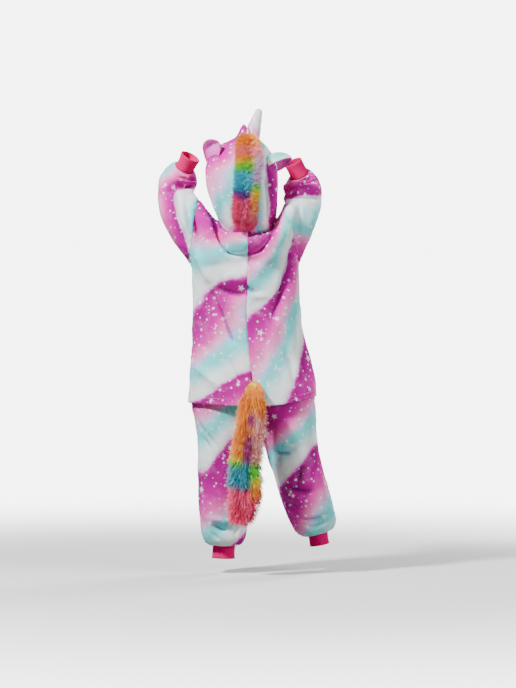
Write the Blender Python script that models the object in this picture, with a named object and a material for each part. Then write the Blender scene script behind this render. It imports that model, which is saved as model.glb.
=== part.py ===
"""Child's unicorn onesie, worn with both arms raised, as a hollow garment of separate cloth panels.

The garment is worked out in millimetres from the tables below and built in metres, +Z up. The wearer
would face -Y, with the left arm at +X. The origin is where it hangs on the shoulders, in the middle of
the neck opening. One surface is lofted for the whole garment, draped with its largest folds, and then
cut along the seams, so that neighbouring panels meet all along their edges.
"""

import math
from typing import NamedTuple

import bmesh
import bpy
import numpy as np
from mathutils import Vector
from mathutils.bvhtree import BVHTree

MM = 0.001
SHARP_EDGE = 50.0  # degrees
FAR_OFF = 400.0  # farther out than any cloth

# Cloth and seams
WALL = 3.0  # plush fleece with its nap
SEAM_GAP = 0.4
SHARPEST_CREASE = 0.3  # sine of half the sharpest crease that the seam gap is kept up in
LYING_GAP = 0.4  # between a piece and the panel that it lies on
KEY_SHIFT = 0.013  # keeps a shared point's two values on the same side of a tenth
LAY_PASSES, LAY_STEP = 14, 0.25  # how a piece is moved out where it would cut into its panel

# How finely the surface is divided
COLS = 10  # columns in a quarter of the trunk
NECK_COLS = 6  # those of them that end on the neck seam, the others on the shoulder seam
RISE_ROWS = 10  # rows from the armpit to the shoulder
TRUNK_ROWS = 13  # rows from the armpit to the hip hem
FORK_ROWS = 3  # rows from the hip hem to the crotch
LEG_ROWS = 12
SLEEVE_ROWS = 14
HOOD_COLS = 12
HOOD_CREST_SPACING = 1.3  # over 1 draws the columns together at the crest
RELAX_PASSES = 2

# Trunk
SIDE_SEAM_TURN = 98.0  # degrees from centre back to the side seam, just past the side
ROUNDNESS = 0.84  # power of the sine in a section: 1 is an ellipse, less is squarer
HEM_T, CROTCH_T = 8.0, 10.0  # rows of TRUNK at the hip hem and at the crotch
TUCK_T = 7.4  # how far up the seat goes under the hem
FLAP_STAND = 7.0  # how far the hem stands off
FLAP_ROWS = 2.5  # rows of TRUNK above the hem over which it comes to stand off
FLAP_SIDE_SHARE = 0.25  # share of the flap's width over which it comes in to the side seam
SEAT_INSET = 6.0  # how far the seat's top lies in
TUCK_CORNER = 0.2  # share of a column by which the seat's top corner lies in from the side seam

# Neck and armholes
NECK_HALF_WIDTH, NECK_BACK, NECK_FRONT = 82.0, 62.0, 70.0
NAPE_Z, THROAT_Z = -14.0, -50.0
NECK_LEFT_LIFT, NECK_RIGHT_LIFT = 54.0, 62.0  # how far raised arms push up the sides of the neck
NECK_SQUARENESS = 0.7
NECK_LIFT_POWER = 7
NECK_CALM = 34.0  # how far from the neck seam the folds reach their full height
ARMHOLE_DEPTH, ARMHOLE_ROUNDNESS = 84.0, 0.9
CENTRE_SWELL = 12.0  # how far the cloth swells out between the armpits and the neck


class TrunkSection(NamedTuple):
    """Reach of the trunk to its left and right, back and front at height z, and where centre back lies.

    The rises are how much higher the ring lies at the left and the right side seam.
    """

    z: float
    left: float
    right: float
    back: float
    front: float
    seam_x: float
    left_rise: float
    right_rise: float


TRUNK = (
    TrunkSection(z=-110, left=166, right=149, back=96, front=98, seam_x=-2, left_rise=0, right_rise=0),
    TrunkSection(z=-150, left=164, right=149, back=98, front=102, seam_x=0, left_rise=0, right_rise=0),
    TrunkSection(z=-200, left=161, right=151, back=97, front=104, seam_x=2, left_rise=0, right_rise=0),
    TrunkSection(z=-265, left=163, right=155, back=95, front=104, seam_x=3, left_rise=0, right_rise=0),
    TrunkSection(z=-320, left=163, right=165, back=98, front=104, seam_x=0, left_rise=0, right_rise=0),
    TrunkSection(z=-370, left=166, right=179, back=105, front=106, seam_x=-5, left_rise=2, right_rise=6),
    TrunkSection(z=-420, left=170, right=190, back=113, front=108, seam_x=-12, left_rise=5, right_rise=15),
    TrunkSection(z=-470, left=171, right=196, back=119, front=108, seam_x=-18, left_rise=7, right_rise=24),
    TrunkSection(z=-513, left=169, right=196, back=121, front=107, seam_x=-23, left_rise=8, right_rise=28),
    TrunkSection(z=-550, left=161, right=196, back=118, front=105, seam_x=-27, left_rise=4, right_rise=14),
    TrunkSection(z=-590, left=154, right=199, back=110, front=102, seam_x=-29, left_rise=0, right_rise=0),
)


class LegSection(NamedTuple):
    """Centre of a leg and its half width and half depth; tilt turns the ring, outer side up."""

    x: float
    y: float
    z: float
    across: float
    deep: float
    tilt: float


LEFT_LEG = (
    LegSection(x=61.5, y=2, z=-590, across=90.5, deep=101, tilt=0),
    LegSection(x=63, y=4, z=-640, across=85, deep=90, tilt=0),
    LegSection(x=66, y=5, z=-700, across=82, deep=83, tilt=0),
    LegSection(x=69, y=2, z=-760, across=78, deep=78, tilt=0),
    LegSection(x=70, y=-2, z=-820, across=74, deep=75, tilt=0),
    LegSection(x=70, y=-4, z=-868, across=69, deep=73, tilt=0),
    LegSection(x=69, y=-4, z=-900, across=65, deep=68, tilt=0),
    LegSection(x=69, y=-4, z=-919, across=50, deep=54, tilt=0),
    LegSection(x=70, y=-4, z=-920, across=34, deep=37, tilt=0),
)
RIGHT_LEG = (
    LegSection(x=-114.5, y=2, z=-590, across=85.5, deep=101, tilt=0),
    LegSection(x=-128, y=2, z=-640, across=79, deep=90, tilt=0),
    LegSection(x=-144, y=-2, z=-700, across=76, deep=83, tilt=2),
    LegSection(x=-162, y=-8, z=-760, across=75, deep=78, tilt=4),
    LegSection(x=-180, y=-14, z=-820, across=73, deep=74, tilt=6),
    LegSection(x=-191, y=-18, z=-852, across=68, deep=70, tilt=9),
    LegSection(x=-196, y=-20, z=-873, across=60, deep=62, tilt=12),
    LegSection(x=-201, y=-21, z=-886, across=46, deep=50, tilt=14),
    LegSection(x=-203, y=-21, z=-888, across=30, deep=33, tilt=14),
)


class SleeveSection(NamedTuple):
    """A ring of a sleeve, from its outer and lower edge to its inner edge, and its half depth."""

    out_x: float
    out_z: float
    in_x: float
    in_z: float
    y: float
    deep: float


LEFT_SLEEVE = (
    SleeveSection(out_x=163, out_z=-110, in_x=147, in_z=92, y=-4, deep=84),
    SleeveSection(out_x=205, out_z=-62, in_x=150, in_z=96, y=-9, deep=82),
    SleeveSection(out_x=238, out_z=-12, in_x=154, in_z=99, y=-24, deep=79),
    SleeveSection(out_x=258, out_z=38, in_x=157, in_z=103, y=-45, deep=73),
    SleeveSection(out_x=266, out_z=78, in_x=160, in_z=107, y=-66, deep=67),
    SleeveSection(out_x=266, out_z=104, in_x=160, in_z=111, y=-80, deep=60),
    SleeveSection(out_x=265, out_z=128, in_x=154, in_z=119, y=-89, deep=61),
    SleeveSection(out_x=263, out_z=150, in_x=149, in_z=129, y=-94, deep=59),
    SleeveSection(out_x=254, out_z=168, in_x=147, in_z=137, y=-95, deep=54),
    SleeveSection(out_x=240, out_z=184, in_x=150, in_z=146, y=-91, deep=47),
    SleeveSection(out_x=226, out_z=192.6, in_x=154.7, in_z=152.4, y=-85, deep=40),
    SleeveSection(out_x=213.5, out_z=194.4, in_x=159.5, in_z=164.6, y=-80, deep=31),
)
RIGHT_SLEEVE = (
    SleeveSection(out_x=-149, out_z=-110, in_x=-108, in_z=77, y=-3, deep=84),
    SleeveSection(out_x=-168, out_z=-66, in_x=-108, in_z=82, y=-6, deep=80),
    SleeveSection(out_x=-186, out_z=-20, in_x=-105, in_z=86, y=-18, deep=77),
    SleeveSection(out_x=-204, out_z=24, in_x=-103, in_z=91, y=-37, deep=72),
    SleeveSection(out_x=-216, out_z=62, in_x=-104, in_z=97, y=-57, deep=67),
    SleeveSection(out_x=-217, out_z=92, in_x=-108, in_z=103, y=-72, deep=60),
    SleeveSection(out_x=-218, out_z=113, in_x=-102, in_z=112, y=-81, deep=60),
    SleeveSection(out_x=-216, out_z=132, in_x=-100, in_z=121, y=-87, deep=57),
    SleeveSection(out_x=-210, out_z=148, in_x=-101, in_z=129, y=-88, deep=52),
    SleeveSection(out_x=-200, out_z=161, in_x=-108, in_z=134, y=-87, deep=46),
    SleeveSection(out_x=-188.5, out_z=170.2, in_x=-116.5, in_z=135.4, y=-84, deep=39),
    SleeveSection(out_x=-176.9, out_z=173.5, in_x=-121.1, in_z=146.5, y=-79, deep=31),
)
ARMHOLE_FADE = 0.7  # share of the sleeve over which its rings turn to lie across the arm


class Point(NamedTuple):
    """A place on a seam."""

    x: float
    y: float
    z: float


LEFT_SHOULDER = (
    Point(x=82, y=-4, z=22),
    Point(x=95, y=-2, z=29),
    Point(x=110, y=-2, z=45),
    Point(x=128, y=-5, z=71),
    Point(x=147, y=-8, z=92),
)
RIGHT_SHOULDER = (
    Point(x=-82, y=-4, z=30),
    Point(x=-89, y=-2, z=40),
    Point(x=-95, y=-2, z=52),
    Point(x=-101, y=-4, z=65),
    Point(x=-108, y=-6, z=77),
)


class HoodArch(NamedTuple):
    """An arch of the hood from its centre seam down to the neck, turning forward from nape to face.

    Left and right are how far the arch swells to each side.
    """

    crest_x: float
    crest_y: float
    crest_z: float
    left: float
    right: float


HOOD = (
    HoodArch(crest_x=0, crest_y=62, crest_z=-14, left=0, right=0),
    HoodArch(crest_x=12, crest_y=86, crest_z=24, left=27, right=12),
    HoodArch(crest_x=6, crest_y=104, crest_z=85, left=44, right=16),
    HoodArch(crest_x=-4, crest_y=102, crest_z=158, left=52, right=14),
    HoodArch(crest_x=-5, crest_y=74, crest_z=222, left=56, right=14),
    HoodArch(crest_x=2, crest_y=24, crest_z=257, left=61, right=18),
    HoodArch(crest_x=2, crest_y=-32, crest_z=270, left=66, right=26),
    HoodArch(crest_x=4, crest_y=-82, crest_z=244, left=70, right=38),
    HoodArch(crest_x=4, crest_y=-112, crest_z=200, left=70, right=48),
)
HOOD_PEAK_X, HOOD_PEAK_Y, HOOD_PEAK_RADIUS, HOOD_PEAK = 13.0, -42.0, 20.0, 44.0
HOOD_ROUNDNESS = 0.72
HOOD_SWELL_PLACE = 1.15  # over 1 brings an arch's widest place down
HOOD_TOP_Z = 215.0  # what is above this can be lifted into the peak


class Fold(NamedTuple):
    """A soft ridge (height above 0) or trough, along a bent line drawn on the back or the front."""

    face: str
    x0: float
    z0: float
    x1: float
    z1: float
    x2: float
    z2: float
    width: float
    height: float


FOLDS = (
    # the roll of cloth that sags below the neck, and the trough under it
    Fold(face="back", x0=92, z0=0, x1=8, z1=-112, x2=-90, z2=4, width=22, height=20),
    Fold(face="back", x0=104, z0=-14, x1=6, z1=-158, x2=-70, z2=-60, width=18, height=-11),
    # two lobes at the left shoulder with a crease between them
    Fold(face="back", x0=136, z0=70, x1=126, z1=14, x2=104, z2=-40, width=20, height=15),
    Fold(face="back", x0=100, z0=60, x1=92, z1=10, x2=86, z2=-44, width=13, height=-13),
    Fold(face="back", x0=148, z0=24, x1=146, z1=-30, x2=140, z2=-92, width=14, height=-10),
    # the long ridge down from the right shoulder, and the deep crease beside it
    Fold(face="back", x0=-134, z0=60, x1=-122, z1=0, x2=-8, z2=-140, width=24, height=20),
    Fold(face="back", x0=-146, z0=-10, x1=-132, z1=-120, x2=-64, z2=-280, width=17, height=-17),
    Fold(face="back", x0=-112, z0=-150, x1=-84, z1=-250, x2=-60, z2=-400, width=26, height=9),
    # the hood's creases, one beside the mane and two at the sides
    Fold(face="hood", x0=-52, z0=206, x1=-60, z1=110, x2=-62, z2=10, width=12, height=-8),
    Fold(face="hood", x0=-78, z0=180, x1=-84, z1=110, x2=-78, z2=40, width=14, height=6),
    Fold(face="hood", x0=92, z0=150, x1=84, z1=90, x2=62, z2=20, width=16, height=-6),
    # slanting drag lines across the back
    Fold(face="back", x0=146, z0=-78, x1=122, z1=-120, x2=108, z2=-165, width=18, height=9),
    Fold(face="back", x0=110, z0=-175, x1=70, z1=-240, x2=34, z2=-350, width=18, height=-11),
    Fold(face="back", x0=92, z0=-170, x1=50, z1=-196, x2=4, z2=-186, width=17, height=-9),
    Fold(face="back", x0=60, z0=-130, x1=30, z1=-160, x2=-4, z2=-160, width=20, height=8),
    Fold(face="back", x0=152, z0=-400, x1=110, z1=-425, x2=84, z2=-462, width=20, height=9),
    Fold(face="back", x0=-170, z0=-250, x1=-156, z1=-360, x2=-186, z2=-470, width=22, height=-9),
    Fold(face="back", x0=30, z0=-230, x1=24, z1=-330, x2=10, z2=-440, width=22, height=6),
    # behind the knees and above the ankles
    Fold(face="back", x0=140, z0=-590, x1=120, z1=-625, x2=112, z2=-670, width=17, height=-9),
    Fold(face="back", x0=-60, z0=-655, x1=-96, z1=-660, x2=-140, z2=-630, width=18, height=-11),
    Fold(face="back", x0=-106, z0=-748, x1=-150, z1=-770, x2=-196, z2=-756, width=17, height=-10),
    Fold(face="back", x0=-140, z0=-735, x1=-156, z1=-705, x2=-166, z2=-685, width=15, height=-8),
    Fold(face="back", x0=104, z0=-852, x1=84, z1=-880, x2=30, z2=-872, width=15, height=-9),
    Fold(face="back", x0=-150, z0=-846, x1=-190, z1=-862, x2=-234, z2=-838, width=15, height=-7),
    # the front
    Fold(face="front", x0=132, z0=60, x1=112, z1=-60, x2=36, z2=-175, width=26, height=14),
    Fold(face="front", x0=-130, z0=56, x1=-104, z1=-74, x2=-30, z2=-190, width=24, height=13),
    Fold(face="front", x0=150, z0=-60, x1=124, z1=-190, x2=84, z2=-330, width=20, height=-11),
    Fold(face="front", x0=-140, z0=-50, x1=-134, z1=-180, x2=-80, z2=-300, width=20, height=-12),
    Fold(face="front", x0=60, z0=-300, x1=90, z1=-380, x2=140, z2=-440, width=22, height=8),
    Fold(face="front", x0=30, z0=-610, x1=70, z1=-570, x2=136, z2=-548, width=18, height=-10),
    Fold(face="front", x0=-84, z0=-616, x1=-120, z1=-574, x2=-178, z2=-556, width=18, height=-10),
    Fold(face="front", x0=34, z0=-700, x1=66, z1=-716, x2=116, z2=-706, width=17, height=-8),
    Fold(face="front", x0=-120, z0=-716, x1=-160, z1=-730, x2=-206, z2=-712, width=17, height=-8),
    Fold(face="front", x0=118, z0=-850, x1=80, z1=-874, x2=30, z2=-858, width=15, height=-8),
    Fold(face="front", x0=-150, z0=-842, x1=-190, z1=-860, x2=-232, z2=-840, width=15, height=-7),
)
FOLD_STEPS = 24

# Rib-knit cuffs
CUFF_WALL, CUFF_RIB, CUFF_RIBS = 2.4, 1.2, 18
CUFF_TUCK = 7.0  # how far a cuff goes up inside the cloth that is gathered onto it
CUFF_SHARES = (0.35, 1.0)  # where along it its rings lie, after the one that is tucked in


class Cuff(NamedTuple):
    """A cuff from its seam (x0, y0, z0) to its free edge (x1, y1, z1), with its outer radii at both."""

    x0: float
    y0: float
    z0: float
    x1: float
    y1: float
    z1: float
    radius0: float
    radius1: float


CUFFS = {
    "wrist_cuff_left": Cuff(x0=186.5, y0=-80, z0=179.5, x1=168, y1=-66, z1=212, radius0=27.2, radius1=30),
    "wrist_cuff_right": Cuff(x0=-149, y0=-79, z0=160, x1=-131, y1=-65, z1=196, radius0=27.4, radius1=27),
    "ankle_cuff_left": Cuff(x0=70, y0=-4, z0=-920, x1=71, y1=-4, z1=-957, radius0=33, radius1=34),
    "ankle_cuff_right": Cuff(x0=-203, y0=-21, z0=-888, x1=-209, y1=-23, z1=-919, radius0=29, radius1=29),
}

# Ears, each a printed outer and a plain lining, both cupped
EAR_WALL, EAR_ROWS, EAR_COLS = 1.5, 7, 10
EAR_END = 0.97  # where along its axis an ear's outline is cut off
EAR_BASE_WIDTH, EAR_SPREAD = 0.82, 0.5  # share of its half width at its base, and how much it gains
EAR_TIP_POWER = 0.6
EAR_SEAT_GAP = 0.88  # between the points at its base and the hood
EAR_SEAT_FADE = 1.2  # how soon up the ear the base's move onto the hood fades


class Ear(NamedTuple):
    """An ear from its base to its tip, cupped towards (open_x, open_y, open_z)."""

    base_x: float
    base_y: float
    base_z: float
    tip_x: float
    tip_y: float
    tip_z: float
    open_x: float
    open_y: float
    open_z: float
    half_width: float
    depth: float
    curl: float  # degrees either way from the middle of the cup to its edges
    point: float  # how full the tip is


EARS = {
    "left": Ear(
        base_x=95,
        base_y=32,
        base_z=186,
        tip_x=110,
        tip_y=56,
        tip_z=254,
        open_x=0.35,
        open_y=0.9,
        open_z=-0.3,
        half_width=30,
        depth=16,
        curl=75,
        point=4,
    ),
    "right": Ear(
        base_x=-62,
        base_y=60,
        base_z=170,
        tip_x=-128,
        tip_y=58,
        tip_z=199,
        open_x=-0.2,
        open_y=0.5,
        open_z=-0.84,
        half_width=26,
        depth=40,
        curl=95,
        point=1.6,
    ),
}

# Horn
HORN_BASE = Point(x=-9, y=-62, z=259)
HORN_TIP = Point(x=-32, y=-66, z=345)
HORN_RADIUS, HORN_TIP_RADIUS = 25.5, 10.5
HORN_TWIST, HORN_GROOVE = 2.2, 1.4  # turns of its spiral, and how deep the groove goes
HORN_STARTS = 2  # grooves that run round it side by side
HORN_RINGS, HORN_SIDES = 9, 20
HORN_SEAT_GAP = 0.56  # between its foot and the hood
HORN_PLAIN_SHARE = 0.17  # share of its length at the foot over which the groove sets in
HORN_DOME_WIDTH, HORN_DOME_RISE, HORN_END_RISE = 0.6, 0.45, 0.6  # shares of the tip's radius


class FurSection(NamedTuple):
    """A section of the mane where it crosses the hood's crest at arch k, or how wide and how high it is."""

    arch: float
    half_width: float
    height: float


MANE = (
    FurSection(arch=0.35, half_width=30, height=13),
    FurSection(arch=0.8, half_width=37, height=22),
    FurSection(arch=1.6, half_width=40, height=27),
    FurSection(arch=2.5, half_width=40, height=28),
    FurSection(arch=3.4, half_width=39, height=30),
    FurSection(arch=4.3, half_width=34, height=29),
    FurSection(arch=5.0, half_width=28, height=26),
    FurSection(arch=5.4, half_width=20, height=14),
)
MANE_ROWS, MANE_COLS = 19, 10
MANE_EDGE = 0.25  # share of its height that stands at its edges
FUR_SEAT_GAP = 0.78  # between fur and the cloth it is sewn to
CREST_START_Y = -130.0  # the crest ends at the face edge, behind this


class TailSection(NamedTuple):
    """Centre of the tail's fur, and its half width and half depth."""

    x: float
    y: float
    z: float
    across: float
    deep: float


TAIL = (
    TailSection(x=-19, y=142, z=-459, across=30, deep=20),
    TailSection(x=-17, y=160, z=-482, across=37, deep=27),
    TailSection(x=-12, y=170, z=-527, across=39, deep=30),
    TailSection(x=-6, y=170, z=-578, across=43, deep=32),
    TailSection(x=0, y=163, z=-626, across=44, deep=34),
    TailSection(x=6, y=156, z=-675, across=44, deep=36),
    TailSection(x=6, y=151, z=-719, across=48, deep=37),
    TailSection(x=9, y=146, z=-768, across=46, deep=34),
    TailSection(x=15, y=141, z=-810, across=33, deep=26),
    TailSection(x=20, y=138, z=-842, across=9, deep=8),
)
TAIL_ROOT_RADIUS = 17.0
TAIL_RINGS, TAIL_SIDES = 20, 20
TAIL_LOCKS, TAIL_LOCK_DEPTH, TAIL_LOCK_TURN = 5, 0.07, 1.3
TAIL_ROOT_RINGS = (0.35, 0.7, 1.0)  # shares of the root's radius
TAIL_STEP = 0.1  # how far along TAIL each way its direction is taken
TAIL_END_DROP = 5.0

# Button placket down the front
PLACKET_HALF_WIDTH, PLACKET_WALL = 13.0, 1.5
PLACKET_TOP_Z, PLACKET_END_Z = -78.0, -480.0
PLACKET_ROWS, PLACKET_COLS = 16, 4
BUTTONS, BUTTON_RADIUS, BUTTON_THICK, BUTTON_SIDES = 6, 8.5, 2.6, 16


class ButtonRing(NamedTuple):
    """A ring of a button's profile, as shares of its radius and thickness."""

    radius: float
    height: float


BUTTON_PROFILE = (
    ButtonRing(radius=0.9, height=0),
    ButtonRing(radius=1, height=0.3),
    ButtonRing(radius=1, height=0.8),
    ButtonRing(radius=0.88, height=1),
    ButtonRing(radius=0.7, height=0.8),
)


def smooth(share):
    """0 to 1 with a level start and end."""
    share = np.clip(share, 0, 1)
    return share * share * (3 - 2 * share)


def power(value, exponent):
    """A power that keeps the sign."""
    return np.sign(value) * np.abs(value) ** exponent


def at(table, t):
    """The row at place t of a table, on a smooth curve through its rows."""
    rows = np.array(table, float)
    last = len(rows) - 1
    i = min(max(math.floor(t), 0), last - 1)
    f = t - i
    start, end = rows[i], rows[i + 1]
    leave = (end - rows[max(i - 1, 0)]) / 2
    arrive = (rows[min(i + 2, last)] - start) / 2
    value = (
        start * (2 * f**3 - 3 * f**2 + 1)
        + leave * (f**3 - 2 * f**2 + f)
        + end * (3 * f**2 - 2 * f**3)
        + arrive * (f**3 - f**2)
    )
    return type(table[0])(*value)


def turn_steps(start, end):
    """Angles in radians for a half ring: COLS columns to the side seam, and COLS on to the end."""
    back = np.linspace(start, SIDE_SEAM_TURN, COLS + 1)
    front = np.linspace(SIDE_SEAM_TURN, end, COLS + 1)
    return np.radians(np.concatenate([back, front[1:]]))


def trunk_ring(t, side):
    """Half of the trunk at row t of TRUNK: from centre back round the side seam to centre front."""
    level = at(TRUNK, t)
    edge = level.left if side > 0 else -level.right
    angle = turn_steps(0, 180)
    deep = power(np.cos(angle), ROUNDNESS)
    x = level.seam_x + (edge - level.seam_x) * power(np.sin(angle), ROUNDNESS)
    y = np.where(deep > 0, level.back, level.front) * deep
    rise = level.left_rise if side > 0 else level.right_rise
    return np.stack([x, y, level.z + rise * np.sin(angle) ** 2], axis=1)


def leg_ring(level, side):
    """A leg's ring: from the inseam round the back, the side seam and the front to the inseam."""
    angle = turn_steps(-90, 270)
    x = side * level.across * power(np.sin(angle), ROUNDNESS)
    y = level.deep * power(np.cos(angle), ROUNDNESS)
    z = side * x * math.sin(math.radians(level.tilt))
    return np.stack([level.x + x * math.cos(math.radians(level.tilt)), level.y + y, level.z + z], axis=1)


def fork_ring(t, side):
    """Between the hip hem and the crotch, where the half trunk closes into a leg."""
    trunk = trunk_ring(t, side)
    leg = leg_ring((LEFT_LEG if side > 0 else RIGHT_LEG)[0], side)
    leg[:, 2] = trunk[:, 2]
    share = smooth((t - HEM_T) / (CROTCH_T - HEM_T))
    return trunk * (1 - share) + leg * share


def neck_ring(side):
    """Half of the neck seam, from the nape round the side to the throat."""
    angle = np.linspace(0, math.pi, 2 * NECK_COLS + 1)
    deep = np.cos(angle)
    x = side * NECK_HALF_WIDTH * power(np.sin(angle), NECK_SQUARENESS)
    y = np.where(deep > 0, NECK_BACK, NECK_FRONT) * deep
    lift = NECK_LEFT_LIFT if side > 0 else NECK_RIGHT_LIFT
    z = NAPE_Z * (1 + deep) / 2 + THROAT_Z * (1 - deep) / 2 + lift * np.sin(angle) ** NECK_LIFT_POWER
    return np.stack([x, y, z], axis=1)


def armhole(side, way):
    """The back (way 1) or front (way -1) of an armhole, from the armpit up to the shoulder."""
    bottom = trunk_ring(0, side)[COLS]
    top = np.array((LEFT_SHOULDER if side > 0 else RIGHT_SHOULDER)[-1])
    angle = np.linspace(-math.pi / 2, math.pi / 2, RISE_ROWS + 1)[:, None]
    out = np.array([0, way * ARMHOLE_DEPTH, 0])
    ring = (bottom + top) / 2 + (top - bottom) / 2 * np.sin(angle)
    return ring + out * power(np.cos(angle), ARMHOLE_ROUNDNESS)


def coons(bottom, top, first, last):
    """A sheet spanned by four edges: bottom and top run along the columns, first and last up the rows."""
    u = np.linspace(0, 1, len(bottom))[None, :, None]
    v = np.linspace(0, 1, len(first))[:, None, None]
    between = (1 - v) * bottom[None] + v * top[None] + (1 - u) * first[:, None] + u * last[:, None]
    corners = (1 - v) * ((1 - u) * bottom[0] + u * bottom[-1]) + v * ((1 - u) * top[0] + u * top[-1])
    return between - corners


def upper_panel(side, way):
    """The back or front from the armpit up, as rows from centre to armhole."""
    ring, neck = trunk_ring(0, side), neck_ring(side)
    if way < 0:
        ring, neck = ring[::-1], neck[::-1]
    shoulder_table = LEFT_SHOULDER if side > 0 else RIGHT_SHOULDER
    places = np.linspace(0, len(shoulder_table) - 1, COLS - NECK_COLS + 1)[1:]
    shoulder = np.array([at(shoulder_table, t) for t in places])
    top = np.concatenate([neck[: NECK_COLS + 1], shoulder])
    rise = np.linspace(0, 1, RISE_ROWS + 1)[:, None]
    centre = ring[0] * (1 - rise) + neck[0] * rise
    centre[:, 1] += way * CENTRE_SWELL * np.sin(math.pi * rise[:, 0])
    return coons(ring[: COLS + 1], top, centre, armhole(side, way))


def sleeve_rows(side):
    """A sleeve as rows from the armhole to the cuff, each a closed ring that starts at the armpit."""
    table = LEFT_SLEEVE if side > 0 else RIGHT_SLEEVE
    hole = np.concatenate([armhole(side, 1), armhole(side, -1)[-2::-1]])
    angle = np.linspace(-math.pi / 2, 1.5 * math.pi, len(hole))[:, None]
    places = np.linspace(0, len(table) - 1, SLEEVE_ROWS + 1)
    levels = [at(table, t) for t in places]
    outer = np.array([[level.out_x, level.y, level.out_z] for level in levels])
    inner = np.array([[level.in_x, level.y, level.in_z] for level in levels])
    along = np.gradient((outer + inner) / 2, axis=0)
    turned = smooth(places / places[-1] / ARMHOLE_FADE)
    rings = [hole]
    for level, low, high, tangent, turn in list(zip(levels, outer, inner, along, turned))[1:]:
        deep = np.cross(high - low, tangent) * side
        deep = deep / np.linalg.norm(deep) * turn + np.array([0, 1, 0]) * (1 - turn)
        deep *= level.deep / np.linalg.norm(deep)
        rings.append((low + high) / 2 + (high - low) / 2 * np.sin(angle) + deep * np.cos(angle))
    return np.array(rings)


def hood_rows(side):
    """Half of the hood as rows, one for each arch from the nape to the face edge."""
    neck = neck_ring(side)
    down = np.linspace(0, 1, HOOD_COLS + 1) ** HOOD_CREST_SPACING
    rise = np.cos(down * math.pi / 2) ** HOOD_ROUNDNESS
    spread = np.sin(down * math.pi / 2) ** HOOD_ROUNDNESS
    swell = np.sin(down**HOOD_SWELL_PLACE * math.pi)
    rows = []
    for k, foot in enumerate(neck):
        arch = at(HOOD, k / (len(neck) - 1) * (len(HOOD) - 1))
        reach = arch.left if side > 0 else -arch.right
        x = arch.crest_x * (1 - down) ** 2 + foot[0] * spread + reach * swell
        y = foot[1] + (arch.crest_y - foot[1]) * rise
        z = foot[2] + (arch.crest_z - foot[2]) * rise
        rows.append(np.stack([x, y, z], axis=1))
    rows[0][:] = neck[0]
    return np.array(rows)


class Surface:
    """The garment's one outer surface, in millimetres, with each face marked with its panel."""

    def __init__(self):
        self.bm = bmesh.new()
        self.panel = self.bm.faces.layers.int.new("panel")
        self.lift = self.bm.verts.layers.float.new("lift")
        self.names = []
        self.known = {}

    def vertex(self, point, layer, lift):
        """The vertex at a point of one layer of cloth, made if it isn't there yet."""
        key = (layer, *np.round(point + KEY_SHIFT, 1))
        if key not in self.known:
            self.known[key] = self.bm.verts.new(point)
        vertex = self.known[key]
        vertex[self.lift] = lift if abs(lift) > abs(vertex[self.lift]) else vertex[self.lift]
        return vertex

    def add(self, name, rows, flip, lifts=None, under_rows=0):
        """Adds rows of points as faces of a panel; the first under_rows of them are a second layer."""
        if name not in self.names:
            self.names.append(name)
        lifts = np.zeros(rows.shape[:2]) if lifts is None else lifts
        grid = [
            [self.vertex(p, "under" if r < under_rows else "outer", lift) for p, lift in zip(row, row_lifts)]
            for r, (row, row_lifts) in enumerate(zip(rows, lifts))
        ]
        for r in range(len(grid) - 1):
            for c in range(len(grid[0]) - 1):
                corners = [grid[r][c], grid[r][c + 1], grid[r + 1][c + 1], grid[r + 1][c]]
                corners = list(dict.fromkeys(corners[::-1] if flip else corners))
                face = self.bm.faces.new(corners)
                face[self.panel] = self.names.index(name)

    def drape(self):
        """Evens the surface out, puts the folds in, and lifts the flap off the seat."""
        hood = {self.names.index("hood_left"), self.names.index("hood_right")}
        marks = {v: {f[self.panel] for f in v.link_faces} for v in self.bm.verts}
        neck = [v for v in self.bm.verts if marks[v] & hood and marks[v] - hood]
        inner = [v for v in self.bm.verts if not v.is_boundary and v not in neck]
        for _ in range(RELAX_PASSES):
            bmesh.ops.smooth_vert(
                self.bm, verts=inner, factor=0.5, use_axis_x=True, use_axis_y=True, use_axis_z=True
            )
        self.bm.normal_update()
        moves = []
        for vertex in self.bm.verts:
            from_neck = min((vertex.co - other.co).length for other in neck)
            calm = smooth(from_neck / NECK_CALM)
            moves.append(fold_height(vertex.co, vertex.normal, bool(marks[vertex] & hood)) * calm)
        for vertex, move in zip(self.bm.verts, moves):
            vertex.co += vertex.normal * (move + vertex[self.lift])
            away = math.hypot(vertex.co.x - HOOD_PEAK_X, vertex.co.y - HOOD_PEAK_Y)
            if vertex.co.z > HOOD_TOP_Z:
                vertex.co.z += HOOD_PEAK * math.exp(-((away / HOOD_PEAK_RADIUS) ** 2))
        self.bm.normal_update()
        self.bm.verts.index_update()
        self.tree = BVHTree.FromBMesh(self.bm)


def fold_path(fold):
    """Points along a fold's bent line."""
    t = np.linspace(0, 1, FOLD_STEPS)[:, None]
    ends = np.array([[fold.x0, fold.z0], [fold.x1, fold.z1], [fold.x2, fold.z2]])
    return (1 - t) ** 2 * ends[0] + 2 * t * (1 - t) * ends[1] + t**2 * ends[2]


FOLD_PATHS = [fold_path(fold) for fold in FOLDS]


def fold_height(point, normal, on_hood):
    """How far the folds lift the cloth at a point, in millimetres."""
    total = 0.0
    for fold, path in zip(FOLDS, FOLD_PATHS):
        facing = -normal.y if fold.face == "front" else normal.y
        if facing <= 0 or on_hood != (fold.face == "hood"):
            continue
        away = np.hypot(path[:, 0] - point.x, path[:, 1] - point.z)
        nearest = int(away.argmin())
        end_taper = math.sqrt(math.sin(math.pi * (nearest + 0.5) / FOLD_STEPS))
        rise = fold.height * math.exp(-((away[nearest] / fold.width) ** 2))
        total += rise * end_taper * smooth(facing * 2)
    return total


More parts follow.
